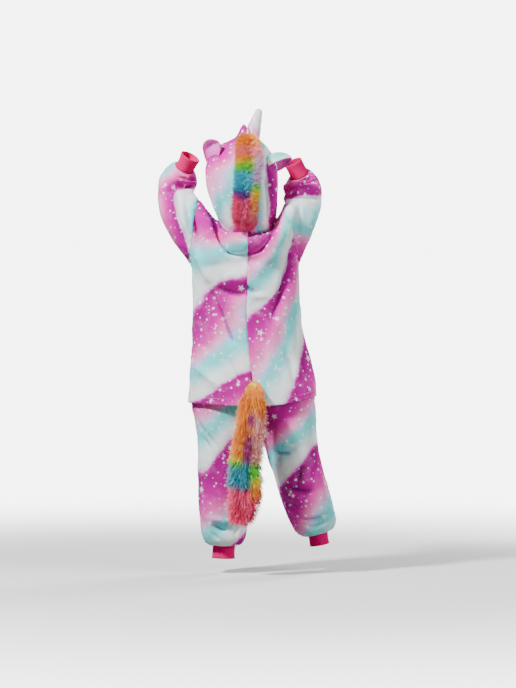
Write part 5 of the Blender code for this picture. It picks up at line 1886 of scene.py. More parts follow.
@dataclass
class RibCuff:
    """A rib-knit cuff from its seam to its free edge, which is folded over."""

    node: str
    start: tuple[float, float, float]
    end: tuple[float, float, float]
    start_radius: float
    end_radius: float
    tuck: float = 6.0
    wall: float = 2.2
    rib_depth: float = 1.1
    inner_relief: float = 0.2
    waist: float = 0.035
    sway: float = 0.7
    ribs: int = 54
    rows: int = 12

    def build(self, finish: Finish) -> Piece:
        """Makes the cuff.

        Args:
            finish: The rib knit.

        Returns:
            The cuff's object.
        """
        start, end = Vector(self.start), Vector(self.end)
        length = (end - start).length
        axis = (end - start).normalized()
        turns = np.linspace(0, 2 * math.pi, self.ribs * 4 + 1)
        outs = circle(axis, turns)
        ribs = (1 + np.cos(turns * self.ribs)) / 2
        spots = np.linspace(-self.tuck / length, 1, self.rows + 1)
        profile = [(share, 0.0) for share in spots]
        profile += [(1 + 0.5 / length, self.wall * 0.5)]
        profile += [(share, self.wall) for share in spots[::-1]]
        rings, flat = [], []
        for share, depth in profile:
            waist = 1 - self.waist * math.sin(math.pi * min(max(share, 0), 1))
            radius = (self.start_radius + (self.end_radius - self.start_radius) * max(share, 0)) * waist
            outer = depth < self.wall
            relief = self.rib_depth * (ribs - 1) * (1.0 if outer else self.inner_relief)
            sway = self.sway * np.sin(turns * 3 + share * 2.6)
            spread = (radius - depth - (0 if outer else self.rib_depth)) + relief + sway
            middle = start + axis * (length * share)
            rings.append([middle + out * reach for out, reach in zip(outs, spread)])
            flat.append([(t / (2 * math.pi), length * share * MM) for t in turns])
        size = len(turns) - 1
        points = np.array([list(point) for ring in rings for point in ring[:-1]])
        faces, uvs = [], []
        total = len(rings)
        for r in range(total):
            for c in range(size):
                after, beside = (r + 1) % total, (c + 1) % size
                faces.append([r * size + c, r * size + beside, after * size + beside, after * size + c])
                uvs += [flat[r][c], flat[r][c + 1], flat[after][c + 1], flat[after][c]]
        numbers = {"rib": np.tile(ribs[:-1], total)}
        piece = link_piece(f"{self.node}_knit", points, faces, finish, numbers, np.array(uvs))
        enter(piece, "rib_knit", self.node)
        return piece


@dataclass
class CuppedEar:
    """An ear of printed fleece with a plain lining, gathered onto the hood."""

    hand: str
    base: tuple[float, float, float]
    tip: tuple[float, float, float]
    opening: tuple[float, float, float]
    half_width: float
    depth: float
    curl: float
    point: float
    wall: float = 1.5
    gap: float = 0.8
    rows: int = 24
    columns: int = 36
    end: float = 0.985
    base_width: float = 0.82
    spread: float = 0.5
    tip_power: float = 0.6
    seat_gap: float = 0.5
    seat_fade: float = 1.2
    gathers: int = 9
    gather_depth: float = 0.05

    def cup(self, worn: WornCloth, depth: float) -> tuple[np.ndarray, np.ndarray]:
        """The ear's curved sheet.

        Args:
            worn: The garment's cloth.
            depth: How far inside the ear's outer side it lies.

        Returns:
            Points and directions as rows and columns.
        """
        base = np.array(self.base)
        axis = np.array(self.tip) - base
        opening = np.array(self.opening)
        opening = opening - axis * (opening @ axis) / (axis @ axis)
        opening /= np.linalg.norm(opening)
        side = np.cross(opening, axis / np.linalg.norm(axis))
        angle = np.radians(np.linspace(-self.curl, self.curl, self.columns + 1))[None, :, None]
        t = np.linspace(0, self.end, self.rows + 1)[:, None, None]
        fullness = (1 - t**self.point) ** self.tip_power * (self.base_width + self.spread * t)
        gathers = 1 + self.gather_depth * np.sin(angle * self.gathers) * (1 - t) ** 2
        wide, deep = self.half_width * fullness, self.depth * fullness * gathers
        grid = base + axis * t + side * wide * np.sin(angle) - opening * deep * np.cos(angle)
        normal = np.cross(np.gradient(grid, axis=1), np.gradient(grid, axis=0))
        normal /= np.maximum(np.linalg.norm(normal, axis=2, keepdims=True), 1e-9)
        grid = grid - normal * depth
        seats = []
        for point in grid[0]:
            place, direction = worn.tree.find_nearest(Vector(point))[:2]
            seats.append(np.array(place + direction * self.seat_gap))
        fade = np.linspace(1, 0, self.rows + 1)[:, None, None] ** self.seat_fade
        return grid + fade * (np.array(seats) - grid[0]), normal

    def sheet(self, name: str, worn: WornCloth, depth: float, finish: Finish) -> Piece:
        """Makes one of the ear's two layers.

        Args:
            name: The piece.
            worn: The garment's cloth.
            depth: How far inside the ear's outer side it lies.
            finish: Its cloth.

        Returns:
            The layer's object.
        """
        front, normal = self.cup(worn, depth)
        points, faces, flat = layered(front, front - normal * self.wall, flip=False)
        rows, columns = front.shape[:2]
        # painted shade on the lining towards the rim and the foot of the ear
        rim = np.abs(np.linspace(-1, 1, columns))[None].repeat(rows, axis=0)
        up = np.linspace(1, 0, rows)[:, None].repeat(columns, axis=1)
        deep = np.clip(np.maximum(rim**4, up**3), 0, 1).ravel()
        numbers = {"deep": np.tile(deep, 2), "inside": np.zeros(len(points))}
        if name in PRINT_MARKS:
            numbers["print"] = print_phase(name, points)
        return link_piece(f"{name}_cloth", points, faces, finish, numbers, flat)

    def build(self, worn: WornCloth, outside: Finish, lining: Finish) -> None:
        """Makes the ear.

        Args:
            worn: The garment's cloth.
            outside: The print.
            lining: The plain fleece.
        """
        for name, depth, finish in (
            (f"ear_{self.hand}", 0.0, outside), (f"ear_lining_{self.hand}", self.wall + self.gap, lining)
        ):
            piece = self.sheet(name, worn, depth, finish)
            enter(piece, "lining_fleece" if "lining" in name else "print_fleece", name)
            grid = self.cup(worn, depth)[0] * MM


@dataclass
class PaddedHorn:
    """The stuffed horn, wound with two shallow grooves, standing on the hood."""

    base: tuple[float, float, float] = (-9, -62, 259)
    tip: tuple[float, float, float] = (-32, -66, 345)
    radius: float = 25.5
    tip_radius: float = 10.5
    twist: float = 2.2
    groove: float = 2.4
    starts: int = 2
    rings: int = 72
    sides: int = 72
    plain_share: float = 0.12
    pinch: float = 2.0
    puff: float = 1.4
    gather: float = 0.7
    gathers: int = 11
    dome: float = 0.6
    dome_rings: int = 6

    def build(self, worn: WornCloth, finish: Finish) -> Piece:
        """Makes the horn.

        Args:
            worn: The garment's cloth.
            finish: The pearly cloth.

        Returns:
            The horn's object.
        """
        base, tip = Vector(self.base), Vector(self.tip)
        axis = (tip - base).normalized()

        def on_hood(point: Vector) -> Vector:
            """The place on the hood below a point, along the horn."""
            return worn.tree.ray_cast(point + axis * self.radius * 3, -axis)[0] + axis * 0.3

        turns = np.linspace(0, 2 * math.pi, self.sides, endpoint=False)
        outs = circle(axis, turns)
        foot = [on_hood(base + out * (self.radius - 1.5)) for out in outs]
        head = [tip + out * self.tip_radius for out in outs]
        rings, ups = [], []
        for t in np.linspace(0, 1, self.rings + 1):
            ring = []
            for a, b, out, turn in zip(foot, head, outs, turns):
                wave = math.cos(turn * self.starts + 2 * math.pi * self.twist * t)
                depth = self.groove * float(smooth(t / self.plain_share)) * max(wave, 0) ** 5
                puff = self.puff * math.sin(math.pi * min(t * 1.2, 1))
                gather = self.gather * math.sin(turn * self.gathers) * (1 - t) ** 6
                pulled = self.pinch * math.exp(-t * 16)
                ring.append(a.lerp(b, t) + out * (puff - depth + gather - pulled))
            rings.append(ring)
            ups.append(t)
        dome = axis * self.tip_radius * self.dome
        for turn in np.linspace(0.15, 0.92, self.dome_rings) * math.pi / 2:
            rings.append(
                [tip + (p - tip) * math.cos(turn) + dome * math.sin(turn) for p in rings[self.rings]]
            )
            ups.append(1.0)
        points = [on_hood(base)] + [p for ring in rings for p in ring] + [tip + dome]
        up = np.concatenate([[0.0], np.repeat(ups, self.sides), [1.0]])
        piece = link_piece("horn_cloth", points, ring_faces(len(rings), self.sides), finish, {"up": up})
        enter(piece, "horn_cloth", "horn")
        return piece


@dataclass
class FrontBand:
    """The band over the front opening."""

    half_width: float = 13.0
    wall: float = 1.5
    lie: float = 1.3
    swell: float = 0.5
    dent: float = 0.35
    dent_place: float = 0.78
    dent_width: float = 0.08
    top_z: float = -78.0
    end_z: float = -480.0
    slack: float = 1.02
    rows: int = 150
    columns: int = 14

    def build(self, worn: WornCloth, finish: Finish) -> BVHTree:
        """Makes the band.

        Args:
            worn: The garment's cloth.
            finish: The print.

        Returns:
            A tree of the band's faces.
        """
        grid = np.empty((self.rows + 1, self.columns + 1, 3))
        normals = np.empty_like(grid)
        for r, z in enumerate(np.linspace(self.top_z, self.end_z, self.rows + 1)):
            middle = worn.front_middle(z)
            for c, across in enumerate(np.linspace(self.half_width, -self.half_width, self.columns + 1)):
                place, normal = worn.on_front(middle + across, z)
                grid[r, c], normals[r, c] = place, normal
        edge = np.abs(np.linspace(-1, 1, self.columns + 1))
        dent = self.dent * np.exp(-(((edge - self.dent_place) / self.dent_width) ** 2))
        swell = self.swell * (1 - edge**6) - dent
        top = grid + normals * (self.lie + self.wall + swell[None, :, None])
        points, faces, flat = layered(top, grid + normals * self.lie, flip=True)
        numbers = {"print": print_phase("placket", points), "inside": np.zeros(len(points))}
        piece = link_piece("placket_cloth", points, faces, finish, numbers, flat)
        enter(piece, "print_fleece", "placket")
        return BVHTree.FromPolygons(points.tolist(), faces)


@dataclass
class SewnButton:
    """A button with a sunk face, sewn on with thread.

    Its profile is rows of a share of the radius and a share of the thickness, from its back to its face.
    """

    number: int
    radius: float = 8.5
    thick: float = 2.6
    gap: float = 0.35
    sides: int = 40
    probe: float = 20.0
    stitch_reach: float = 2.3
    stitch_apart: float = 0.55
    stitch_rise: float = 0.75
    stitch_sink: float = 0.2
    thread_radius: float = 0.55
    thread_sides: int = 8
    thread_steps: int = 12
    profile: tuple[tuple[float, float], ...] = (
        (0.9, 0), (0.97, 0.1), (1, 0.3), (1, 0.75), (0.97, 0.93),
        (0.9, 1), (0.8, 0.97), (0.72, 0.78), (0.66, 0.72), (0.2, 0.72),
    )

    def build(self, band: FrontBand, count: int, worn: WornCloth, tree: BVHTree, finishes: tuple) -> None:
        """Makes the button and its thread.

        Args:
            band: The band it is sewn to.
            count: How many buttons there are.
            worn: The garment's cloth.
            tree: The band's faces.
            finishes: The plastic and the thread.
        """
        share = (self.number - 0.5) / count
        z = band.top_z + (band.end_z - band.top_z) * share
        centre, normal = worn.on_front(worn.front_middle(z), z)
        outs = circle(normal, np.linspace(0, 2 * math.pi, self.sides, endpoint=False))
        under = [centre + out * self.radius * part for out in outs for part in (0, 0.5, 1)]
        hits = [tree.ray_cast(point + normal * self.probe, -normal)[0] for point in under]
        heights = [(hit - centre).dot(normal) for hit in hits if hit]
        centre = centre + normal * (max(heights) + self.gap)
        points = [centre]
        for radius, height in self.profile:
            points += [centre + out * self.radius * radius + normal * self.thick * height for out in outs]
        face = centre + normal * self.thick * self.profile[-1][1]
        faces = ring_faces(len(self.profile), self.sides)
        name = f"button_{self.number}"
        piece = link_piece(f"{name}_disc", [*points, face], faces, finishes[0])
        enter(piece, "button_plastic", name)
        self.thread(face, normal, finishes[1])

    def thread(self, face: Vector, normal: Vector, finish: Finish) -> None:
        """Makes two stitches side by side over the button's middle, with their ends in its face.

        Args:
            face: The middle of the button's face.
            normal: The way it faces.
            finish: The thread.
        """
        first, second = circle(normal, [0, math.pi / 2])
        points, faces = [], []
        ring, steps = self.thread_sides, self.thread_steps
        for offset in (-1, 1):
            line = []
            beside = second * self.stitch_reach * self.stitch_apart * offset
            for t in np.linspace(-1, 1, steps + 1):
                rise = self.stitch_rise * math.sqrt(max(1 - t**4, 0)) - self.stitch_sink
                line.append(face + first * self.stitch_reach * t + beside + normal * rise)
            start = len(points)
            for i, point in enumerate(line):
                ahead = (line[min(i + 1, steps)] - line[max(i - 1, 0)]).normalized()
                up = ahead.cross(second).normalized()
                for k in range(ring):
                    turn = 2 * math.pi * k / ring
                    points.append(
                        point + (second * math.cos(turn) + up * math.sin(turn)) * self.thread_radius
                    )
            for i in range(steps):
                for k in range(ring):
                    a, b = start + i * ring + k, start + i * ring + (k + 1) % ring
                    faces.append([a, b, b + ring, a + ring])
            faces.append([start + k for k in range(ring)][::-1])
            faces.append([start + steps * ring + k for k in range(ring)])
        piece = link_piece(f"button_{self.number}_thread", points, faces, finish)
        enter(piece, "button_plastic")


# ---------------------------------------------------------------- what repeats, as Geometry Nodes


class ShapeTree(NodeTree):
    """A Geometry Nodes tree with named inputs."""

    def __init__(self, name: str, inputs: dict[str, tuple[str, object]]) -> None:
        """Starts a tree.

        Args:
            name: Its name.
            inputs: The kind and the value of each input beside the geometry.
        """
        super().__init__(bpy.data.node_groups.new(name, "GeometryNodeTree"))
        self.tree.interface.new_socket("Geometry", in_out="INPUT", socket_type="NodeSocketGeometry")
        self.tree.interface.new_socket("Geometry", in_out="OUTPUT", socket_type="NodeSocketGeometry")
        self.values = {}
        for key, (kind, value) in inputs.items():
            item = self.tree.interface.new_socket(key, in_out="INPUT", socket_type=f"NodeSocket{kind}")
            self.values[item.identifier] = value
        self.start = self.tree.nodes.new("NodeGroupInput")
        self.end = self.tree.nodes.new("NodeGroupOutput")

    def chance(self, low: float, high: float, seed: int) -> Socket:
        """A random number for each point."""
        inputs = {"Min": low, "Max": high, "Seed": seed}
        return self.add("FunctionNodeRandomValue", inputs, data_type="FLOAT").outputs[1]

    def read(self, name: str, kind: str = "FLOAT") -> Socket:
        """A named attribute of the geometry."""
        return self.add("GeometryNodeInputNamedAttribute", {"Name": name}, data_type=kind).outputs[0]

    def mark(self, geometry: object, name: str, value: object) -> Socket:
        """The geometry with a number stored on it."""
        inputs = {"Geometry": geometry, "Name": name, "Value": value}
        return self.add("GeometryNodeStoreNamedAttribute", inputs, data_type="FLOAT").outputs[0]

    def finish(self, geometry: Socket) -> None:
        """Ends the tree in real mesh with its material."""
        real = self.add("GeometryNodeRealizeInstances", {"Geometry": geometry}).outputs[0]
        inputs = {"Geometry": real, "Material": self.start.outputs["Material"]}
        dressed = self.add("GeometryNodeSetMaterial", inputs)
        self.tree.links.new(dressed.outputs[0], self.end.inputs[0])

    def run(self, holder: Piece) -> Piece:
        """Runs the tree on an object and leaves its result as plain mesh.

        Args:
            holder: The object.

        Returns:
            The same object.
        """
        modifier = holder.modifiers.new(self.tree.name, "NODES")
        modifier.node_group = self.tree
        for identifier, value in self.values.items():
            modifier[identifier] = value
        view = bpy.context.evaluated_depsgraph_get()
        made = bpy.data.meshes.new_from_object(holder.evaluated_get(view), depsgraph=view)
        holder.modifiers.clear()
        holder.data = made
        made.shade_smooth()
        return holder


@dataclass(frozen=True)
class StrandCoat:
    """Long fur as bent, tapering ribbons that stand on a skin along its comb."""

    density: float
    length: float
    width: float
    bend: float
    stray: float
    clump: float
    seed: int
    steps: int = 3
    lock_waves: float = 42.0
    spin: float = 0.9
    shortest: float = 0.7
    longest: float = 1.08
    droop: float = 0.3
    taper: float = 0.7

    def tree(self, name: str, finish: Finish) -> ShapeTree:
        """Builds the tree.

        Args:
            name: Its name.
            finish: The fur's material.

        Returns:
            The tree.
        """
        nodes = ShapeTree(
            name,
            {
                "Density": ("Float", self.density), "Length": ("Float", self.length * MM),
                "Width": ("Float", self.width * MM), "Seed": ("Int", self.seed),
                "Material": ("Material", finish),
            },
        )
        start = nodes.start.outputs
        roots = nodes.add(
            "GeometryNodeDistributePointsOnFaces",
            {"Mesh": start["Geometry"], "Density": start["Density"], "Seed": start["Seed"]},
        )
        place = nodes.add("GeometryNodeInputPosition").outputs[0]
        waves = nodes.add("ShaderNodeTexNoise", {"Vector": place, "Scale": self.lock_waves, "Detail": 2.0})
        locks = nodes.vector("SUBTRACT", waves.outputs["Color"], (0.5, 0.5, 0.5))
        locks = nodes.vector("SCALE", locks, self.clump)
        strays = nodes.add(
            "FunctionNodeRandomValue", {0: (-self.stray,) * 3, 1: (self.stray,) * 3, "Seed": start["Seed"]},
            data_type="FLOAT_VECTOR",
        ).outputs[0]
        comb = nodes.vector("ADD", nodes.read("comb", "FLOAT_VECTOR"), nodes.vector("ADD", locks, strays))
        aim = nodes.add("FunctionNodeAlignRotationToVector", {"Vector": comb}, axis="Z").outputs[0]
        spin = nodes.chance(-self.spin, self.spin, 7)
        turn = nodes.add("FunctionNodeAxisAngleToRotation", {"Axis": (0, 0, 1), "Angle": spin})
        aim = nodes.add("FunctionNodeRotateRotation", {0: aim, 1: turn.outputs[0]}, rotation_space="LOCAL")
        reach = nodes.times(nodes.chance(self.shortest, self.longest, 3), nodes.read("reach"))
        toned = nodes.mark(roots.outputs["Points"], "tone", nodes.chance(0.0, 1.0, 5))
        size = nodes.times(reach, start["Length"])
        placed = nodes.add(
            "GeometryNodeInstanceOnPoints",
            {
                "Points": toned, "Instance": self.strand(nodes), "Rotation": aim.outputs[0],
                "Scale": nodes.add("ShaderNodeCombineXYZ", {0: 1.0, 1: size, 2: size}).outputs[0],
            },
        )
        both = nodes.add("GeometryNodeJoinGeometry")
        nodes.tree.links.new(placed.outputs[0], both.inputs[0])
        nodes.tree.links.new(start["Geometry"], both.inputs[0])
        nodes.finish(both.outputs[0])
        return nodes

    def strand(self, nodes: ShapeTree) -> Socket:
        """One strand, a ribbon of length 1 that bends to y and ends in a point."""
        line = nodes.add(
            "GeometryNodeCurvePrimitiveLine", {"Start": (0, 0, 0), "End": (0, 0, 1)}
        ).outputs[0]
        line = nodes.add("GeometryNodeResampleCurve", {"Curve": line, "Count": self.steps + 1}).outputs[0]
        along = nodes.add("GeometryNodeSplineParameter").outputs["Factor"]
        sag = nodes.times(nodes.math("POWER", along, 2.0), self.bend)
        shift = nodes.add("ShaderNodeCombineXYZ", {1: sag, 2: nodes.times(sag, -self.droop)}).outputs[0]
        bent = nodes.add("GeometryNodeSetPosition", {"Geometry": line, "Offset": shift}).outputs[0]
        taper = nodes.math("POWER", nodes.minus(1.04, along), self.taper)
        narrow = nodes.add("GeometryNodeSetCurveRadius", {"Curve": bent, "Radius": taper}).outputs[0]
        marked = nodes.mark(narrow, "tip", along)
        half = nodes.times(nodes.start.outputs["Width"], 0.5)
        left = nodes.add("ShaderNodeCombineXYZ", {0: nodes.times(half, -1.0)}).outputs[0]
        right = nodes.add("ShaderNodeCombineXYZ", {0: half}).outputs[0]
        across = nodes.add("GeometryNodeCurvePrimitiveLine", {"Start": left, "End": right}).outputs[0]
        return nodes.add("GeometryNodeCurveToMesh", {"Curve": marked, "Profile Curve": across}).outputs[0]


@dataclass
class StitchLine:
    """A row of stitches along a line."""

    pitch: float = 3.4
    length: float = 2.5
    radius: float = 0.38

    def build(self, name: str, lines: list[np.ndarray], slot: str, finish: Finish) -> Piece:
        """Makes the stitches.

        Args:
            name: The piece.
            lines: The lines they run along, in millimetres.
            slot: Not used.
            finish: The thread.

        Returns:
            The stitches' object.
        """
        mesh = bpy.data.meshes.new(name)
        points, edges = [], []
        for line in lines:
            start = len(points)
            points += (np.asarray(line) * MM).tolist()
            edges += [(start + i, start + i + 1) for i in range(len(line) - 1)]
        mesh.from_pydata(points, edges, [])
        holder = put_in(name, mesh)
        nodes = ShapeTree(
            name,
            {
                "Pitch": ("Float", self.pitch * MM), "Length": ("Float", self.length * MM),
                "Radius": ("Float", self.radius * MM), "Material": ("Material", finish),
            },
        )
        start = nodes.start.outputs
        curve = nodes.add("GeometryNodeMeshToCurve", {"Mesh": start["Geometry"]}).outputs[0]
        spaced = nodes.add(
            "GeometryNodeCurveToPoints", {"Curve": curve, "Length": start["Pitch"]}, mode="LENGTH"
        )
        ball = nodes.add("GeometryNodeMeshUVSphere", {"Segments": 6, "Rings": 5, "Radius": 1.0}).outputs[0]
        long = nodes.times(start["Length"], 0.5)
        shape = nodes.add(
            "ShaderNodeCombineXYZ", {0: start["Radius"], 1: start["Radius"], 2: long}
        ).outputs[0]
        aim = nodes.add(
            "FunctionNodeAlignRotationToVector", {"Vector": spaced.outputs["Tangent"]}, axis="Z"
        ).outputs[0]
        placed = nodes.add(
            "GeometryNodeInstanceOnPoints",
            {"Points": spaced.outputs["Points"], "Instance": ball, "Rotation": aim, "Scale": shape},
        ).outputs[0]
        nodes.finish(placed)
        piece = nodes.run(holder)
        enter(piece, slot)
        return piece


# ---------------------------------------------------------------- long fur


@dataclass
class FurBody:
    """A closed body of rings that strands stand on, and what each ring says about them.

    Combs are the way strands lie. Along and across are places in the fur's bands of colour, and reach is
    a share of the strands' length.
    """

    rings: list[list[list[float]]] = field(default_factory=list)
    combs: list[list[list[float]]] = field(default_factory=list)
    along: list[list[float]] = field(default_factory=list)
    across: list[list[float]] = field(default_factory=list)
    reach: list[list[float]] = field(default_factory=list)

    def add(self, ring: list, comb: list, along: float, across: list[float], reach: list[float]) -> None:
        """Adds a ring."""
        self.rings.append([list(place) for place in ring])
        self.combs.append([list(way) for way in comb])
        self.along.append([along] * len(ring))
        self.across.append(across)
        self.reach.append(reach)

    def grow(self, node: str, start: Vector | None, coat: StrandCoat, finish: Finish) -> Piece:
        """Makes the body and its strands.

        Args:
            node: The fur's node.
            start: The middle point of the first ring, if it isn't the mean of the ring.
            coat: The strands.
            finish: The fur's colours.

        Returns:
            The fur.
        """
        rings = np.array(self.rings)
        count, size = rings.shape[:2]
        first = rings[0].mean(axis=0) if start is None else np.array(start)
        points = np.concatenate([[first], rings.reshape(-1, 3), [rings[-1].mean(axis=0)]])

        def whole(values: list) -> np.ndarray:
            """A ring's values with the two middle points'."""
            flat = np.array(values).reshape(count * size, -1)
            return np.concatenate([[flat[0]], flat, [flat[-1]]])

        marks = {"along": self.along, "across": self.across, "reach": self.reach}
        numbers = {key: whole(values).ravel() for key, values in marks.items()}
        name = f"{node}_fur"
        skin = link_piece(name, points, ring_faces(count, size), finish, numbers)
        way = skin.data.attributes.new("comb", "FLOAT_VECTOR", "POINT")
        way.data.foreach_set("vector", whole(self.combs).astype(np.float32).ravel())
        skin.data.attributes.new("tip", "FLOAT", "POINT")
        skin.data.attributes.new("tone", "FLOAT", "POINT")
        piece = coat.tree(name, finish).run(skin)
        enter(piece, "long_fur", node)
        return piece


class FurSection(NamedTuple):
    """A section of the mane where it crosses the hood's crest at arch k, or how wide and how high it is."""

    arch: float
    half_width: float
    height: float


MANE = table(
    FurSection,  # arch, half_width, height
    (0.35, 30, 13),
    (0.8, 37, 22),
    (1.6, 40, 27),
    (2.5, 40, 28),
    (3.4, 39, 30),
    (4.3, 34, 29),
    (5.0, 28, 26),
    (5.4, 20, 14),
)


@dataclass
class RainbowMane:
    """The mane, long fur along the hood's crest from nape to horn."""

    rows: int = 90
    columns: int = 26
    edge: float = 0.25
    seat: float = 0.6
    core: float = 0.6
    narrower: float = 0.5
    parting: float = 0.6
    side_comb: float = 1.3
    lift: float = 0.5
    fall: tuple[float, float, float] = (0, 0.1, -0.2)
    band_run: float = 400.0
    full_height: float = 28.0
    taper: float = 0.22
    coat: StrandCoat = StrandCoat(
        density=560000, length=30, width=0.8, bend=0.3, stray=0.4, clump=0.8, seed=11
    )

    def crest(self, worn: WornCloth) -> np.ndarray:
        """The hood's crest from nape to face."""
        crest = worn.shared_points("hood")
        wanted = worn.cut.hood(Side.LEFT)[:, 0]
        return np.array([crest[np.linalg.norm(crest - spot, axis=1).argmin()] for spot in wanted])

    def build(self, worn: WornCloth, finish: Finish) -> Piece:
        """Makes the mane.

        Args:
            worn: The garment's cloth.
            finish: The fur.

        Returns:
            The mane's object.
        """
        line = self.crest(worn)
        arches = np.linspace(0, len(HOOD) - 1, len(line))
        fur, run, previous = FurBody(), 0.0, None
        for share in np.linspace(0, 1, self.rows + 1):
            arch, half_width, height = row_at(MANE, share * (len(MANE) - 1))
            middle = Vector([float(np.interp(arch, arches, line[:, i])) for i in range(3)])
            run += 0.0 if previous is None else (middle - previous).length
            previous = middle
            spots = np.linspace(-1, 1, self.columns + 1)
            bottom = []
            for u in spots:
                aim = middle + Vector((u * half_width * self.narrower, 0, 0))
                place, normal = worn.tree.find_nearest(aim)[:2]
                bottom.append((place, normal, float(u)))
            ring = [(place + normal * self.seat, normal, u, 0.0) for place, normal, u in bottom]
            for place, normal, u in reversed(bottom):
                rise = height * (self.edge + (1 - self.edge) * math.sqrt(1 - u * u)) * self.core
                ring.append((place + normal * rise, normal, u, 1.0))
            fall = Vector(self.fall)
            sides = [
                Vector((math.copysign(self.parting, u) + u * self.side_comb, 0, 0)) for *_, u, _ in ring
            ]
            comb = [normal * self.lift + side + fall for (_, normal, *_), side in zip(ring, sides)]
            ends = min(share * 8, (1 - share) * 4, 1)
            tall = (0.3 + 0.7 * ends) * (height / self.full_height) * (1 - self.taper * share)
            places, across = [place for place, *_ in ring], [u for *_, u, _ in ring]
            fur.add(places, comb, run / self.band_run, across, [top * tall for *_, top in ring])
        LOG.info("the mane runs %.0f mm along the crest", run)
        return fur.grow("mane", None, self.coat, finish)


class TailSection(NamedTuple):
    """Centre of the tail's fur, and its half width and half depth."""

    x: float
    y: float
    z: float
    across: float
    deep: float


TAIL = table(
    TailSection,  # x, y, z, across, deep
    (-19, 142, -459, 30, 20),
    (-17, 160, -482, 37, 27),
    (-12, 170, -527, 39, 30),
    (-6, 170, -578, 43, 32),
    (0, 163, -626, 44, 34),
    (6, 156, -675, 44, 36),
    (6, 151, -719, 48, 37),
    (9, 146, -768, 46, 34),
    (15, 141, -810, 33, 26),
    (20, 138, -842, 9, 8),
)


@dataclass
class RainbowTail:
    """The tail, long fur that hangs from the middle of the back above the hem."""

    root_radius: float = 17.0
    rings: int = 90
    sides: int = 44
    core: float = 0.66
    seat: float = 0.6
    locks: int = 5
    lock_depth: float = 0.14
    lock_turn: float = 1.3
    end_gap: float = 0.6
    first_reach: float = 0.55
    full_row: float = 1.5
    lift: float = 0.5
    coat: StrandCoat = StrandCoat(
        density=230000, length=36, width=0.95, bend=0.25, stray=0.25, clump=0.9, seed=23
    )

    def build(self, worn: WornCloth, finish: Finish) -> Piece:
        """Makes the tail.

        Args:
            worn: The garment's cloth.
            finish: The fur.

        Returns:
            The tail's object.
        """
        root = TAIL[0]
        angles = -np.linspace(0, 2 * math.pi, self.sides, endpoint=False)
        fur, across = FurBody(), [math.cos(a) for a in angles]
        for share in (0.35, 0.7, 1.0):
            spread = self.root_radius * share
            ring = [
                worn.on_back(root.x + spread * math.cos(a), root.z + spread * math.sin(a)) for a in angles
            ]
            ring = [place + normal * self.seat for place, normal in ring]
            comb = [(math.cos(a) * 0.6, 0.6, math.sin(a) * 0.5 - 0.3) for a in angles]
            fur.add(ring, comb, 0.0, across, [0.0] * self.sides)
        last = len(TAIL) - 1
        for t in np.linspace(0, last - self.end_gap, self.rings + 1):
            x, y, z, wide, deep = row_at(TAIL, t)
            ahead, behind = row_at(TAIL, min(t + 0.1, last)), row_at(TAIL, max(t - 0.1, 0))
            forward = (Vector(ahead[:3]) - Vector(behind[:3])).normalized()
            side = Vector((1, 0, 0))
            up = side.cross(forward).normalized()
            ring, comb = [], []
            for a in angles:
                lock = 1 - self.lock_depth * (1 - math.cos(self.locks * a + self.lock_turn * t)) / 2
                out = side * wide * math.cos(a) + up * deep * math.sin(a)
                ring.append(Vector((x, y, z)) + out * lock * self.core)
                comb.append(out.normalized() * self.lift + forward * 0.9)
            reach = self.first_reach + (1 - self.first_reach) * min(t / self.full_row, 1)
            fur.add(ring, comb, t / last, across, [reach] * self.sides)
        start, normal = worn.on_back(root.x, root.z)
        return fur.grow("tail", start + normal * self.seat, self.coat, finish)


# ---------------------------------------------------------------- studio


